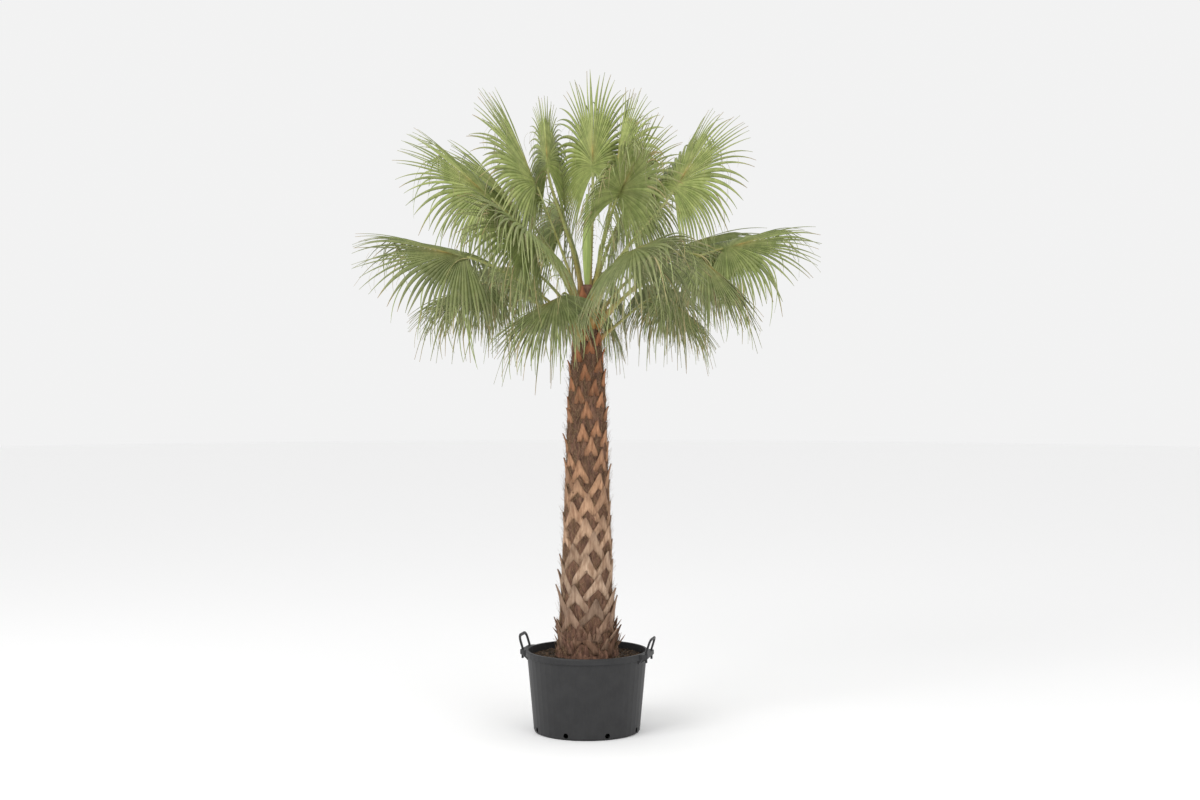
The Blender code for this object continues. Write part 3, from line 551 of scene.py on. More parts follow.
@dataclass
class LeafBases(Growth):
    """Leaf bases in a spiral up the trunk, each split into two legs that meet in a stub above.

    The lower ones are plates, which stand off the trunk most at its foot. From the almond's
    start upwards they turn into narrow almonds, which are nearly closed.
    """

    count: int = 118
    height_scatter: float = 0.010
    turn_scatter: float = 0.11
    length: float = 0.165
    length_loss: float = 0.060
    length_range: Pair = (0.88, 1.14)
    spread: float = 0.074
    spread_loss: float = 0.022
    spread_range: Pair = (0.88, 1.12)
    almond_start: float = 0.36
    almond_span: float = 0.25
    almond_length_loss: float = 0.30
    almond_spread_loss: float = 0.66
    almond_width_loss: float = 0.22
    foot_span: float = 0.20
    flare: float = 0.010
    foot_flare: float = 0.030
    odd_flare: float = 0.018
    flare_power: float = 2.2
    tan_share: float = 0.45
    orange_span: float = 0.4
    tone_range: Pair = (0.85, 1.35)
    stations: int = 9
    meeting: float = 0.72
    meeting_loss: float = 0.30
    gap: float = 0.0045
    taper: float = 0.80
    taper_power: float = 1.4
    heel: float = 0.35
    heel_span: float = 0.35
    plate_places: tuple[float, ...] = (0.0, 0.25, 0.60, 0.85, 1.0)
    plate_widths: tuple[float, ...] = (0.50, 0.80, 1.05, 0.55, 0.10)
    width: float = 0.0285
    width_loss: float = 0.0085
    least_width: float = 0.0018
    lift: float = 0.0005
    depth: float = 0.0085
    depth_loss: float = 0.0045
    edge_tone: float = 0.75
    middle_tone: float = 0.35
    section: Section = ((-1.0, -0.6), (1.0, -0.6), (1.0, 0.15), (0.45, 0.9), (-0.45, 0.9), (-1.0, 0.15))

    def add(self) -> None:
        """Adds the leaf bases.

        A leg's middle line runs from a side of the foot up to the stub. Its width tapers, its
        outer face bulges, and the stub stands off the trunk by a power of the share.
        """
        number = np.arange(self.count)[:, None]
        column = number.shape
        share = number / (self.count - 1.0)
        low = BARK_FOOT + share * (BARK_TOP - BARK_FOOT)
        low = np.maximum(low + self.rng.normal(0.0, self.height_scatter, column), BARK_FOOT)
        turn = number * GOLDEN_ANGLE + self.rng.normal(0.0, self.turn_scatter, column)
        length = (self.length - self.length_loss * share) * self.rng.uniform(*self.length_range, column)
        almond = smooth((share - self.almond_start) / self.almond_span)
        length = length * (1.0 - self.almond_length_loss * almond)
        spread = (self.spread - self.spread_loss * share) * (1.0 - self.almond_spread_loss * almond)
        spread = spread * self.rng.uniform(*self.spread_range, column)
        near_foot = np.clip(1.0 - share / self.foot_span, 0.0, 1.0)
        flare = self.flare + self.foot_flare * near_foot + self.odd_flare * self.rng.random(column) ** 2
        tint = blend(BASE_GREY, BASE_TAN, np.clip(share / self.tan_share, 0.0, 1.0))
        tint = blend(tint, BASE_ORANGE, np.clip((share - self.tan_share) / self.orange_span, 0.0, 1.0))
        tint = blend(tint, BASE_FOOT_BROWN, near_foot) * self.rng.uniform(*self.tone_range, column)
        s = np.linspace(0.0, 1.0, self.stations)
        height = low + length * s
        apart = (1.0 - smooth(s / self.meeting)) * (1.0 - self.meeting_loss * share)
        closed = 1.0 - self.taper * s**self.taper_power - self.heel * (1.0 - smooth(s / self.heel_span))
        shape = blend(np.interp(s, self.plate_places, self.plate_widths), closed, almond)
        width = (self.width - self.width_loss * share) * (1.0 - self.almond_width_loss * almond)
        width = width * shape + self.least_width
        deep = self.depth - self.depth_loss * s
        radius = (trunk_radius(height) + (self.lift + flare * s**self.flare_power))[..., None]
        across, off = np.array(self.section).T
        out = radius + off * deep[..., None]
        tone = (self.edge_tone + self.middle_tone * np.sin(np.pi * s))[:, None, None]
        for leg in (-1.0, 1.0):
            aside = leg * (spread * apart + self.gap * (1.0 - s))
            angle = turn[..., None] + (across * width[..., None] + aside[..., None]) / radius
            rings = around_axis(out, angle, height[..., None])
            self.skin.tubes(rings[:, :, ::-1], tint[:, None, None] * tone)


@dataclass
class FootStubs(Growth):
    """Short dead stubs that stand up and out round the trunk's foot."""

    count: int = 54
    turn_scatter: float = 0.08
    height_range: Pair = (0.398, 0.530)
    length_range: Pair = (0.050, 0.095)
    lean_range: Pair = (42.0, 74.0)
    root_depth: float = 0.010
    curl: float = 0.010
    stations: int = 6
    half_width: float = 0.023
    least_half_width: float = 0.0012
    taper_power: float = 0.7
    worn_power: float = 1.5
    root_tone: float = 0.7
    tip_tone: float = 0.5
    section: Section = ((-1.0, -0.22), (1.0, -0.22), (0.7, 0.24), (-0.7, 0.24))

    def add(self) -> None:
        """Adds the stubs. Each leaves the core at its lean and curls up by the square of its share."""
        column = (self.count, 1)
        number = np.arange(self.count)[:, None]
        turn = number * GOLDEN_ANGLE + self.rng.normal(0.0, self.turn_scatter, column)
        height = self.rng.uniform(*self.height_range, column)
        length = self.rng.uniform(*self.length_range, column)
        lean = np.radians(self.rng.uniform(*self.lean_range, column))
        s = np.linspace(0.0, 1.0, self.stations)
        out = trunk_radius(height) - self.root_depth + length * np.cos(lean) * s
        up = height + length * np.sin(lean) * s + self.curl * s**2
        angle = turn + self.rng.normal(0.0, self.turn_scatter, column) * s
        middle = around_axis(out, angle, up)
        side = np.cross(UP, around_axis(1.0, angle, 0.0))
        face = np.cross(headings(middle), side)
        half = (self.half_width * (1.0 - s) ** self.taper_power + self.least_half_width)[:, None]
        rings = sweep(middle, side, face, self.section, half)
        tint = blend(STUB_DARK, STUB_WORN, self.rng.random(column) ** self.worn_power)
        self.skin.tubes(rings, tint[:, None, None] * (self.root_tone + self.tip_tone * s)[:, None, None])


@dataclass
class LooseFibres(Growth):
    """Thin fibres that lie slanted on the trunk, and some that stick out."""

    count: int = 8200
    length_range: Pair = (0.02, 0.075)
    slant_range: Pair = (-1.0, 1.0)
    stick: float = 0.034
    stick_power: int = 4
    lift: float = 0.003
    stations: int = 4
    half_width: float = 0.00075
    width_loss: float = 0.6
    pale_power: float = 0.7

    def add(self) -> None:
        """Adds the fibres. Each runs up at its slant and lifts off the trunk with its share."""
        column = (self.count, 1)
        height = BARK_FOOT + (BARK_TOP - BARK_FOOT) * self.rng.random(column)
        turn = self.rng.uniform(0.0, 2.0 * np.pi, column)
        length = self.rng.uniform(*self.length_range, column)
        slant = self.rng.uniform(*self.slant_range, column)
        stick = self.rng.random(column) ** self.stick_power * self.stick
        s = np.linspace(0.0, 1.0, self.stations)
        z = height + length * s * np.cos(slant)
        radius = trunk_radius(z) + self.lift + stick * s
        angle = turn + length * np.sin(slant) * s / radius
        middle = around_axis(radius, angle, z)
        out = around_axis(1.0, angle, 0.0)
        side = unit(np.cross(headings(middle), out))
        half = (self.half_width * (1.0 - self.width_loss * s))[:, None]
        tint = blend(FIBRE_RED, FIBRE_PALE, self.rng.random(column) ** self.pale_power)
        self.skin.tubes(sweep(middle, side, out, TRIANGLE, half), tint[:, None, None])


@dataclass
class Trunk:
    """The trunk: a core of matting, leaf bases in a spiral, foot stubs and loose fibres."""

    rng: Rng

    def dress(self) -> None:
        """Builds the trunk's meshes."""
        core, bases, fibres = Skin(Kind.CORE), Skin(Kind.BASES), Skin(Kind.FIBRES)
        Matting(core).add()
        LeafBases(self.rng, bases).add()
        FootStubs(self.rng, bases).add()
        LooseFibres(self.rng, fibres).add()
        core.dress("trunk", "trunk")
        bases.dress("trunk")
        fibres.dress("trunk")


@dataclass(frozen=True)
class Frond:
    """One frond: where its hub lies and how the fan sits on it, as in the part's solids.

    The heading, aim, pitch, roll, fold and tuft are degrees, and the first two turn about the
    trunk in the front view's axes.
    """

    heading: float
    reach: float
    height: float
    aim: float
    pitch: float
    roll: float = 0.0
    fold: float = 50.0
    droop: float = 1.0
    radius: float = 0.60
    tuft: float = 22.0

    @property
    def youth(self) -> float:
        """0 for the lowest, oldest frond and 1 for the youngest at the heart."""
        span = CROWN_HIGH_HUB - CROWN_LOW_HUB
        return min(1.0, max(0.0, (self.height - CROWN_LOW_HUB) / span))

    @property
    def outward(self) -> Array:
        """Level unit vector from the trunk towards the hub."""
        return level_vector(self.heading)

    @property
    def hub(self) -> Array:
        """Where the stem meets the blade."""
        return self.outward * self.reach + UP * self.height

    @property
    def axes(self) -> tuple[Array, Array, Array]:
        """Unit vectors along the fan's middle, across it, and off its upper side."""
        flat = level_vector(self.aim)
        pitch = math.radians(self.pitch)
        roll = math.radians(self.roll)
        along = math.cos(pitch) * flat + math.sin(pitch) * UP
        level = np.cross(UP, flat)
        above = np.cross(along, level)
        across = math.cos(roll) * level + math.sin(roll) * above
        upper = math.cos(roll) * above - math.sin(roll) * level
        return along, across, upper

    def stem_line(self, steps: int) -> Array:
        """Middle line of the stem: a curve with two handles, from the trunk to the hub.

        Args:
            steps: how many steps it takes.

        Returns:
            Its points, (steps + 1, 3).
        """
        along, _, upper = self.axes
        height = CROWN_FOOT + CROWN_FOOT_RISE * self.youth
        foot = self.outward * (trunk_radius(height) - STEM_FOOT_DEPTH) + UP * height
        end = self.hub + upper * STEM_ABOVE_BLADE
        lift = math.radians(STEM_LOW_LIFT + STEM_LIFT_RISE * self.youth)
        leaving = self.outward * math.cos(lift) + UP * math.sin(lift)
        span = np.linalg.norm(end - foot)
        first = foot + leaving * span * STEM_FOOT_HANDLE
        second = end - along * span * STEM_HUB_HANDLE
        t = np.linspace(0.0, 1.0, steps + 1)[:, None]
        curve = (1 - t) ** 3 * foot + 3 * t * (1 - t) ** 2 * first + 3 * t * t * (1 - t) * second
        return curve + t**3 * end


FRONDS = (
    Frond(188, 0.50, 2.77, aim=186, pitch=42, roll=-56, fold=24, radius=0.56),
    Frond(197, 0.64, 2.46, aim=188, pitch=14, roll=-52, fold=28, radius=0.60),
    Frond(168, 0.27, 2.84, aim=150, pitch=66, roll=30, fold=35, droop=0.6, radius=0.61, tuft=25),
    Frond(136, 0.29, 2.95, aim=100, pitch=64, roll=-15, fold=60, radius=0.52),
    Frond(75, 0.12, 2.92, aim=96, pitch=78, roll=-15, fold=36, radius=0.59, tuft=28),
    Frond(40, 0.20, 2.92, aim=30, pitch=84, roll=-20, fold=56, radius=0.47),
    Frond(298, 0.34, 2.76, aim=312, pitch=54, roll=-35, fold=28, droop=0.7, radius=0.51),
    Frond(10, 0.46, 2.82, aim=15, pitch=58, roll=54, fold=24, radius=0.56, tuft=24),
    Frond(8, 0.72, 2.52, aim=8, pitch=16, roll=54, fold=26, radius=0.54, tuft=24),
    Frond(290, 0.60, 2.47, aim=300, pitch=10, roll=5, fold=35, droop=0.5, radius=0.64),
    Frond(330, 0.66, 2.45, aim=320, pitch=-34, fold=45, droop=0.7, radius=0.48, tuft=26),
    Frond(240, 0.52, 2.55, aim=232, pitch=26, roll=28, fold=55, droop=0.55, radius=0.60),
    Frond(240, 0.24, 2.27, aim=208, pitch=-24, roll=15, droop=0.6, radius=0.48, tuft=26),
    Frond(70, 0.24, 2.24, aim=58, pitch=-50, fold=45, droop=0.8, radius=0.34),
    Frond(146, 0.46, 2.76, aim=152, pitch=47, fold=50, radius=0.58),
    Frond(104, 0.50, 2.66, aim=100, pitch=30, roll=10),
    Frond(62, 0.46, 2.76, aim=60, pitch=42, fold=48),
    Frond(34, 0.64, 2.56, aim=34, pitch=16, roll=-10, radius=0.58),
    Frond(84, 0.62, 2.42, aim=84, pitch=2, fold=48, droop=0.9, radius=0.58),
    Frond(124, 0.66, 2.44, aim=126, pitch=4, roll=5, droop=0.9),
    Frond(52, 0.62, 2.36, aim=54, pitch=-12, fold=46, droop=0.8, radius=0.52),
    Frond(160, 0.58, 2.34, aim=160, pitch=-14, fold=48, droop=0.8, radius=0.48),
    Frond(22, 0.46, 2.26, aim=22, pitch=-34, fold=46, droop=0.7, radius=0.38),
)


@dataclass
class Stems(Growth):
    """Leaf stems, flat above and round below, with teeth on their two edges."""

    teeth: Skin
    steps: int = 22
    foot_width: float = 0.0130
    hub_width: float = 0.0070
    width_power: float = 0.6
    sheath_width: float = 0.020
    sheath_fall: float = 16.0
    brown_fall: float = 7.0
    section: Section = (
        (-0.6, -0.7), (0.0, -0.95), (0.6, -0.7), (1.0, 0.25), (0.6, 0.42), (-0.6, 0.42), (-1.0, 0.25),
    )
    teeth_each: int = 26
    teeth_first: float = 0.06
    teeth_last: float = 0.82
    teeth_out: float = 0.9
    teeth_up: float = 0.2
    tooth_length: float = 0.0055
    tooth_lean: float = 0.003
    tooth_half_length: float = 0.0028
    tooth_half_width: float = 0.0016
    tooth_tip: float = 0.15

    def add(self, frond: Frond) -> None:
        """Adds a stem. Its side turns from level at the foot to the fan's own at the hub.

        Args:
            frond: whose stem it is.
        """
        line = frond.stem_line(self.steps)
        heading = headings(line)
        share = np.linspace(0.0, 1.0, self.steps + 1)[:, None]
        turned = blend(unit(np.cross(UP, frond.outward)), frond.axes[1], share)
        side = unit(turned - heading * (turned * heading).sum(axis=1, keepdims=True))
        upper = np.cross(heading, side)
        width = self.foot_width + (self.hub_width - self.foot_width) * share**self.width_power
        width = width + self.sheath_width * np.exp(-share * self.sheath_fall)
        rings = sweep(line, side, upper, self.section, width)
        tint = blend(STEM_GREEN, STEM_BROWN, np.exp(-share * self.brown_fall))
        self.skin.tubes(rings[None], tint[None, :, None])
        self.add_teeth(line, (heading, side, upper), width)

    def add_teeth(self, line: Array, axes: tuple[Array, Array, Array], width: Array) -> None:
        """Adds the teeth: small pyramids that lean forwards or back.

        Args:
            line: the stem's middle line, (steps + 1, 3).
            axes: unit vectors along it, to its side and off its upper face.
            width: its half width, (steps + 1, 1).
        """
        place = np.linspace(self.teeth_first, self.teeth_last, self.teeth_each) * self.steps
        near = place.round().astype(int)
        whole = np.arange(self.steps + 1)
        root = np.stack([np.interp(place, whole, values) for values in line.T], axis=1)
        ahead, side, upper, width = (values[near] for values in (*axes, width))
        long, wide = ahead * self.tooth_half_length, upper * self.tooth_half_width
        base = (long, wide, -long, -wide)
        for edge in (-1.0, 1.0):
            out = side * edge
            start = root + out * width * self.teeth_out + upper * width * self.teeth_up
            lean = ahead * self.rng.choice([-1.0, 1.0], (self.teeth_each, 1)) * self.tooth_lean
            tip = start + out * self.tooth_length + lean
            low = np.stack([start + corner for corner in base], axis=1)
            high = np.stack([tip + corner * self.tooth_tip for corner in base], axis=1)
            both = np.stack([low, high], axis=1)
            self.teeth.tubes(both if edge < 0.0 else both[:, :, ::-1], WHITE)


@dataclass
class Segments:
    """The segments of a frond's fan.

    Places from -1 to 1 say where they lie in it, and parts are the shares at which they part
    from their neighbours, both (segment,). Their middle lines and the unit vectors across them
    are (segment, station, 3).
    """

    frond: Frond
    places: Array
    parts: Array
    middle: Array
    across: Array

    @property
    def beyond(self) -> Array:
        """Share of the way from the part to the tip, (segment, station)."""
        share = np.linspace(0.0, 1.0, self.middle.shape[1])
        part = self.parts[:, None]
        return np.clip((share - part) / (1.0 - part), 0.0, 1.0)


@dataclass
class Ribbons(Growth):
    """Narrow strips that split off the leaves, arch over and hang."""

    fan_count: int = 26
    fan_length_range: Pair = (0.22, 0.46)
    past_part: float = 0.04
    heart_count: int = 330
    heart_length_range: Pair = (0.14, 0.30)
    heart_steps: int = 40
    heart_first: int = 16
    heart_last: int = 38
    heart_scatter: float = 0.12
    heart_outward_range: Pair = (0.0, 0.9)
    stations: int = 10
    reach: float = 0.55
    arch: float = 1.7
    fall: float = 0.9
    sway: float = 0.18
    half_width: float = 0.0042
    least_half_width: float = 0.0006
    taper_power: float = 0.6
    half_thickness: float = 0.0005
    tan_share: float = 0.3

    def add(self, start: Array, ahead: Array, side: Array, length: Array) -> None:
        """Adds strips. Each sets out ahead, arches over, and falls by the square of its share.

        Args:
            start: where each strip begins, (n, 3).
            ahead: unit vectors along which they set out.
            side: unit vectors across them.
            length: their lengths, (n,).
        """
        count = len(start)
        s = np.linspace(0.0, 1.0, self.stations)[None, :, None]
        size = length[:, None, None]
        course = ahead[:, None] * self.reach * np.sin(self.arch * s) - UP * self.fall * s**2
        line = start[:, None] + size * course
        line = line + size * side[:, None] * self.sway * self.rng.normal(size=(count, 1, 1)) * s**2
        half = (self.half_width * (1.0 - s) ** self.taper_power + self.least_half_width) * side[:, None]
        thick = self.half_thickness * unit(np.cross(headings(line), half))
        rings = np.stack(
            [line - half - thick, line + half - thick, line + half + thick, line - half + thick], axis=2
        )
        tint = np.where(self.rng.random((count, 1)) < self.tan_share, RIBBON_TAN, RIBBON_PALE)
        self.skin.tubes(rings, tint[:, None, None])

    def hang_on_fan(self, fan: Segments) -> None:
        """Adds strips that begin just past the places where a fan's segments part.

        Args:
            fan: the segments.
        """
        pick = self.rng.integers(0, len(fan.middle), self.fan_count)
        at = ((fan.parts[pick] + self.past_part) * (fan.middle.shape[1] - 1)).astype(int)
        ahead = unit(fan.middle[pick, at + 1] - fan.middle[pick, at - 1])
        length = self.rng.uniform(*self.fan_length_range, self.fan_count) * fan.frond.radius
        self.add(fan.middle[pick, at], ahead, fan.across[pick, at], length)

    def hang_in_heart(self) -> None:
        """Adds the young leaves' split strips. They begin on the stems and arch outwards."""
        count = self.heart_count
        lines = np.stack([frond.stem_line(self.heart_steps) for frond in FRONDS])
        pick = self.rng.integers(0, len(FRONDS), count)
        at = self.rng.integers(self.heart_first, self.heart_last, count)
        start = lines[pick, at]
        along = unit(lines[pick, at + 1] - lines[pick, at - 1])
        scatter = self.rng.normal(0.0, self.heart_scatter, (count, 3))
        out = unit(start * LEVEL + scatter * LEVEL)
        ahead = unit(along + out * self.rng.uniform(*self.heart_outward_range, (count, 1)))
        side = unit(np.cross(ahead, out))
        self.add(start, ahead, side, self.rng.uniform(*self.heart_length_range, count))


@dataclass
class Threads(Growth):
    """Fine threads that hang from the segments beyond where they part."""

    count: int = 60
    place_range: Pair = (0.0, 0.55)
    length_range: Pair = (0.05, 0.16)
    stations: int = 6
    steepness: float = 0.2
    swing: float = 0.5
    arch: float = 2.2
    fall: float = 0.9
    fall_power: float = 1.3
    half_width: float = 0.00060

    def add(self, fan: Segments) -> None:
        """Adds a fan's threads. Each swings out and falls by a power of its share.

        Args:
            fan: the segments.
        """
        count = self.count
        pick = self.rng.integers(0, len(fan.middle), count)
        part = fan.parts[pick]
        at = part + (1.0 - part) * self.rng.uniform(*self.place_range, count)
        start = fan.middle[pick, (at * (fan.middle.shape[1] - 1)).astype(int)]
        length = self.rng.uniform(*self.length_range, (count, 1, 1))
        s = np.linspace(0.0, 1.0, self.stations)[None, :, None]
        swing = unit(self.rng.normal(size=(count, 1, 3)) * (1.0, 1.0, self.steepness))
        course = swing * self.swing * np.sin(self.arch * s) - s**self.fall_power * (self.fall * UP)
        line = start[:, None] + length * course
        right, back, _ = np.eye(3)
        self.skin.tubes(sweep(line, right, back, TRIANGLE, self.half_width), WHITE)


@dataclass
class Fans(Growth):
    """Fans of many pleated segments, which part, taper and droop towards their tips."""

    segments: int = 61
    stations: int = 15
    half_angle: float = math.radians(140.0)
    tuft_share: float = 0.42
    spread_power: float = 1.15
    edge_power: float = 0.75
    rib_share: float = 0.18
    side_start: float = 0.25
    side_length_loss: float = 0.34
    side_length_span: float = 0.45
    droop_span: float = 0.5
    middle_droop: float = 0.10
    droop_strength: float = 2.6
    droop_power: float = 1.6
    part_range: Pair = (0.40, 0.54)
    taper_power: float = 0.75
    least_width: float = 0.0016
    pleat: float = 0.32
    half_thickness: float = 0.0006
    hang_range: Pair = (0.02, 0.13)
    sway_scatter: float = 0.022
    broken_share: float = 0.14
    broken_drop: float = 0.30
    young_stiffness: float = 0.85
    cut_range: Pair = (0.95, 1.0)
    fresh_from: float = 0.35
    old_deepness: float = 0.4
    shade_range: Pair = (0.78, 1.25)
    paleness: float = 0.55
    pale_power: float = 1.5
    dry_share: float = 0.38
    dry_start: float = 0.72
    dry_span: float = 0.28
    rib_fall: float = 9.0
    rib_side_fall: float = 4.0

    def rays(self, frond: Frond, places: Array) -> Array:
        """Rays of a fan. The middle ones form a tuft, those at the side are shorter and turn
        down, and the two halves are folded down from the middle like a roof.

        Args:
            frond: whose fan it is.
            places: where the rays lie in it, from -1 to 1, (n,).

        Returns:
            Their points from root to tip, (n, station, 3).
        """
        along, across, upper = frond.axes
        steps = self.stations - 1
        off = np.abs(places)
        tuft = math.radians(frond.tuft)
        beyond = np.clip((off - self.tuft_share) / (1.0 - self.tuft_share), 0.0, 1.0)
        outer = tuft + (self.half_angle - tuft) * beyond**self.spread_power
        angle = np.where(off < self.tuft_share, tuft * off / self.tuft_share, outer)[:, None]
        fold = math.radians(frond.fold)
        sideways = np.sign(places)[:, None] * math.cos(fold) * across - math.sin(fold) * upper
        heading = np.cos(angle) * along + np.sin(angle) * sideways
        shorter = self.side_length_loss * smooth((off - self.side_start) / self.side_length_span)
        length = frond.radius * (1.0 - shorter) * (1.0 - self.rib_share * (1.0 - off))
        root = frond.hub + (self.rib_share * frond.radius * (1.0 - off))[:, None] * along
        share = (np.arange(steps) + 0.5) / steps
        at_side = smooth((off - self.side_start) / self.droop_span)
        weight = frond.droop * (self.middle_droop + (1.0 - self.middle_droop) * at_side)
        pull = weight[:, None] * self.droop_strength * share**self.droop_power
        step = unit(heading[:, None, :] - pull[:, :, None] * UP)
        reach = np.cumsum(step, axis=1) * (length / steps)[:, None, None]
        return root[:, None, :] + np.concatenate([np.zeros_like(reach[:, :1]), reach], axis=1)

    def hang(self, fan: Segments) -> None:
        """Lets segments sway and hang by the square of what is beyond their part. Some are
        broken and hang further, and each is cut a little short.

        Args:
            fan: the segments, whose middle lines are moved.
        """
        column = (len(fan.parts), 1)
        beyond, frond = fan.beyond, fan.frond
        hang = self.rng.uniform(*self.hang_range, column) * frond.radius
        sway = self.rng.normal(0.0, self.sway_scatter, column) * frond.radius
        bent = beyond**2
        broken = (self.rng.random(column) < self.broken_share) * self.broken_drop * frond.radius
        limp = (1.0 - self.young_stiffness * frond.youth) * (hang + broken) * bent
        shift = fan.across * (sway * bent)[..., None] - limp[..., None] * UP
        cut = (1.0 - self.rng.uniform(*self.cut_range, column)) * beyond * frond.radius
        fan.middle = fan.middle + shift - headings(fan.middle) * cut[..., None]

    def tints(self, fan: Segments) -> Array:
        """Tints of the segments: green by the frond's age, paler outwards, dry at some tips and
        orange along the rib.

        Args:
            fan: the segments.

        Returns:
            Colours, (segment, station, 1, 3).
        """
        count, youth, beyond = len(fan.parts), fan.frond.youth, fan.beyond
        if youth > self.fresh_from:
            base = blend(BLADE_DEEP, BLADE_FRESH, youth)
        else:
            base = blend(BLADE_OLD, BLADE_DEEP, self.old_deepness)
        tint = base * self.rng.uniform(*self.shade_range, (count, 1, 1, 1))
        paler = beyond**self.pale_power * self.paleness
        tint = blend(tint, BLADE_PALE, paler[..., None, None])
        dried = np.clip((beyond - self.dry_start) / self.dry_span, 0.0, 1.0)
        dried = (self.rng.random((count, 1)) < self.dry_share) * dried
        tint = blend(tint, BLADE_DRY, dried[..., None, None])
        share = np.linspace(0.0, 1.0, self.stations)
        rib = np.exp(-share * self.rib_fall) * np.exp(-np.abs(fan.places) * self.rib_side_fall)[:, None]
        return blend(tint, BLADE_RIB, rib[..., None, None])

    def add(self, frond: Frond) -> Segments:
        """Adds a fan. Each segment is a keeled strip: a pleat up to where it parts from its
        neighbours, then a taper that droops to a point.

        Args:
            frond: whose fan it is.

        Returns:
            Its segments.
        """
        even = np.linspace(-1.0, 1.0, self.segments + 1)
        edges = np.sign(even) * np.abs(even) ** self.edge_power
        places = (edges[1:] + edges[:-1]) / 2.0
        between = self.rays(frond, edges[1:]) - self.rays(frond, edges[:-1])
        wide = np.linalg.norm(between, axis=-1)
        across = unit(between + 1e-7 * frond.axes[1])
        parts = self.rng.uniform(*self.part_range, self.segments)
        fan = Segments(frond, places, parts, self.rays(frond, places), across)
        at_part = (parts * (self.stations - 1)).astype(int)[:, None]
        beyond = fan.beyond
        tapered = np.minimum(wide, np.take_along_axis(wide, at_part, axis=1))
        own = np.where(beyond > 0.0, tapered * (1.0 - beyond) ** self.taper_power, wide)
        side = across * (np.maximum(own, self.least_width)[..., None] / 2.0)
        normal = unit(np.cross(headings(fan.middle), across))
        self.hang(fan)
        middle = fan.middle
        pleat = (self.pleat * own)[..., None] * normal
        thick = self.half_thickness * normal
        under = [middle - side - thick, middle + pleat - thick, middle + side - thick]
        over = [middle + side + thick, middle + pleat + thick, middle - side + thick]
        self.skin.tubes(np.stack(under + over, axis=2), self.tints(fan))
        return fan


@dataclass
class Spear:
    """The spear leaf: a pleated spindle that tapers to its tip."""

    skin: Skin
    foot: float = 2.300
    top: float = 2.800
    rows: int = 40
    turns: int = 48
    least_radius: float = 0.0035
    belly: float = 0.0165
    belly_start: float = 0.12
    belly_span: float = 0.86
    belly_power: float = 1.2
    pleats: float = 12.0
    pleat_depth: float = 0.13

    def add(self) -> None:
        """Adds the spindle. Its radius follows most of a half sine wave, times its pleats."""
        s = np.linspace(0.0, 1.0, self.rows)[:, None]
        turn = even_turns(self.turns)
        swell = np.sin(np.pi * (s * self.belly_span + self.belly_start)) ** self.belly_power
        radius = self.least_radius + self.belly * swell
        radius = radius * (1.0 + self.pleat_depth * np.sin(self.pleats * turn))
        height = self.foot + (self.top - self.foot) * s
        self.skin.tubes(around_axis(radius, turn, height)[None], WHITE)


@dataclass
class Crown:
    """The fronds, the strips at the crown's heart and the spear leaf."""

    rng: Rng

    def dress(self) -> None:
        """Builds the crown's meshes."""
        kinds = (Kind.STEMS, Kind.TEETH, Kind.BLADES, Kind.THREADS, Kind.SPEAR)
        skins = {kind: Skin(kind) for kind in kinds}
        stems = Stems(self.rng, skins[Kind.STEMS], skins[Kind.TEETH])
        fans = Fans(self.rng, skins[Kind.BLADES])
        ribbons = Ribbons(self.rng, skins[Kind.BLADES])
        threads = Threads(self.rng, skins[Kind.THREADS])
        for frond in FRONDS:
            stems.add(frond)
            fan = fans.add(frond)
            ribbons.hang_on_fan(fan)
            threads.add(fan)
        ribbons.hang_in_heart()
        Spear(skins[Kind.SPEAR]).add()
        numbers = range(1, len(FRONDS) + 1)
        stands_for = {
            Kind.STEMS: [f"stem_{number:02d}" for number in numbers],
            Kind.BLADES: [f"fan_{number:02d}" for number in numbers],
            Kind.SPEAR: ["spear_leaf"],
        }
        for kind, skin in skins.items():
            slot = "fans" if kind in (Kind.BLADES, Kind.THREADS) else "stems"
            skin.dress(slot, *stands_for.get(kind, []))


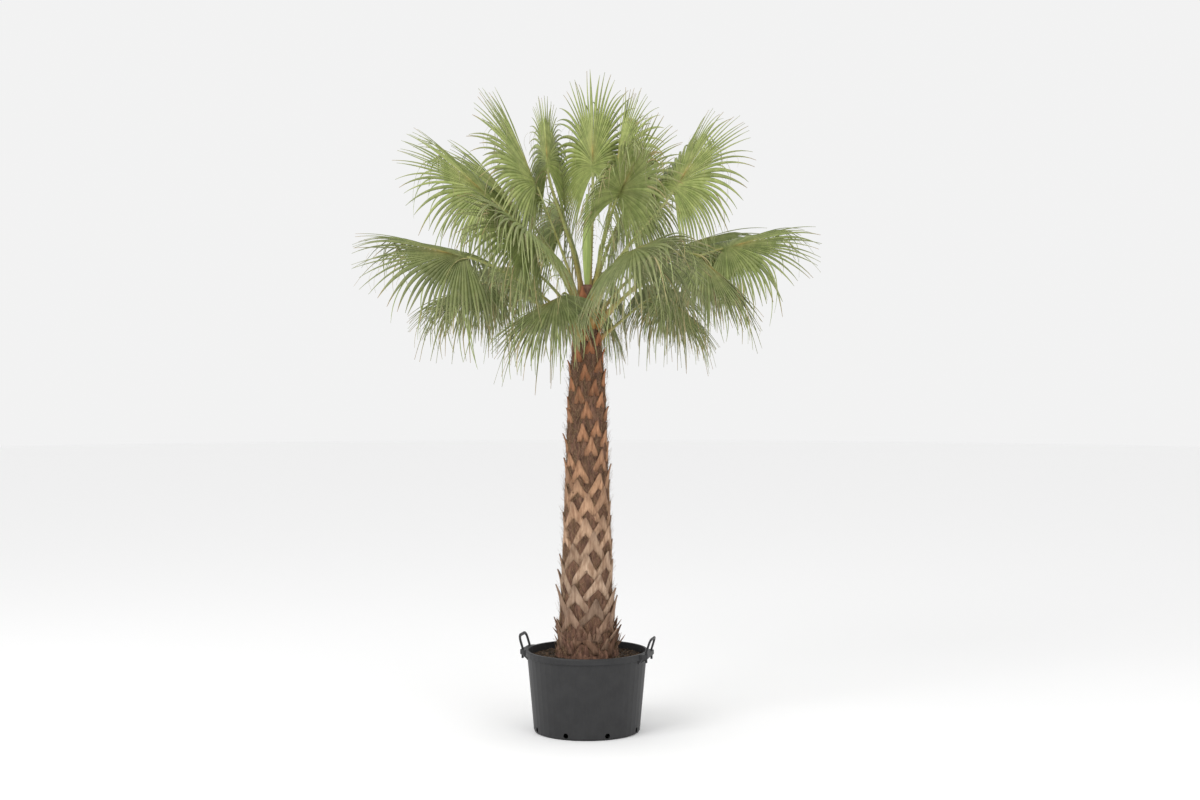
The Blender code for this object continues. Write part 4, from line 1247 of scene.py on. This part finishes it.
@dataclass
class Studio:
    """Soft studio light, a pale floor and surround, and the camera at the photo's viewing angle.

    The camera's place is in the front view's axes, and it looks down by its dip in degrees.
    """

    floor_radius: float = 30.0
    floor_sides: int = 96
    floor_tone: float = 0.97
    floor_roughness: float = 0.9
    surround_tone: float = 0.89
    camera_place: Triple = (0.068, -9.5, 2.0)
    camera_dip: float = 1.63
    camera_lens: float = 54.72
    camera_sensor: float = 36.0
    light_size: float = 4.0

    def add_floor(self) -> None:
        """Adds a pale floor disc, which isn't part of the object."""
        bpy.ops.mesh.primitive_circle_add(
            vertices=self.floor_sides, radius=self.floor_radius, fill_type="NGON", location=(0, 0, 0)
        )
        floor = bpy.context.object
        floor.name = "studio_floor"
        material = bpy.data.materials.new("studio_floor")
        material.use_nodes = True
        shader = material.node_tree.nodes["Principled BSDF"]
        set_inputs(shader, Base_Color=(*[self.floor_tone] * 3, 1.0), Roughness=self.floor_roughness)
        floor.data.materials.append(material)

    def add_light(self, name: str, power: float, place: Triple, turn: Triple) -> None:
        """Adds a square area light.

        Args:
            name: its name.
            power: its power in watts.
            place: where it hangs.
            turn: its turn in degrees.
        """
        data = bpy.data.lights.new(name, "AREA")
        data.size = self.light_size
        data.energy = power
        light = bpy.data.objects.new(name, data)
        light.location = place
        light.rotation_euler = np.radians(turn)
        bpy.context.scene.collection.objects.link(light)

    def add_camera(self) -> None:
        """Adds the camera and makes it the scene's own."""
        data = bpy.data.cameras.new("camera")
        data.lens = self.camera_lens
        data.sensor_width = self.camera_sensor
        camera = bpy.data.objects.new("camera", data)
        x, y, z = self.camera_place
        camera.location = x * level_vector(0.0) + y * level_vector(90.0) + z * UP
        camera.rotation_euler = np.radians([90.0 - self.camera_dip, 0.0, FRONT_VIEW_TURN])
        bpy.context.scene.collection.objects.link(camera)
        bpy.context.scene.camera = camera

    def dress(self) -> None:
        """Sets up the studio, with plain colours in the view."""
        self.add_floor()
        world = bpy.data.worlds.new("studio")
        bpy.context.scene.world = world
        world.use_nodes = True
        set_inputs(world.node_tree.nodes["Background"], Color=(*[self.surround_tone] * 3, 1.0))
        self.add_light("key_light", 230.0, (-3.0, -5.5, 6.0), (48.0, 0.0, -28.0))
        self.add_light("fill_light", 90.0, (5.0, -4.5, 3.5), (68.0, 0.0, 46.0))
        self.add_camera()
        bpy.context.scene.view_settings.view_transform = "Standard"


def main() -> None:
    """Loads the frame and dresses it."""
    logging.basicConfig(level=logging.INFO)
    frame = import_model()
    rng = np.random.default_rng(SEED)
    Pot(frame).dress()
    PottingMix(rng).dress()
    Trunk(rng).dress()
    Crown(rng).dress()
    Studio().dress()
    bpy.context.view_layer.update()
    for name, obj in sorted(bpy.data.objects.items()):
        if obj.type == "MESH" and "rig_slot" in obj:
            LOG.info("%s: %d faces", name, len(obj.data.polygons))


if __name__ == "__main__":
    main()
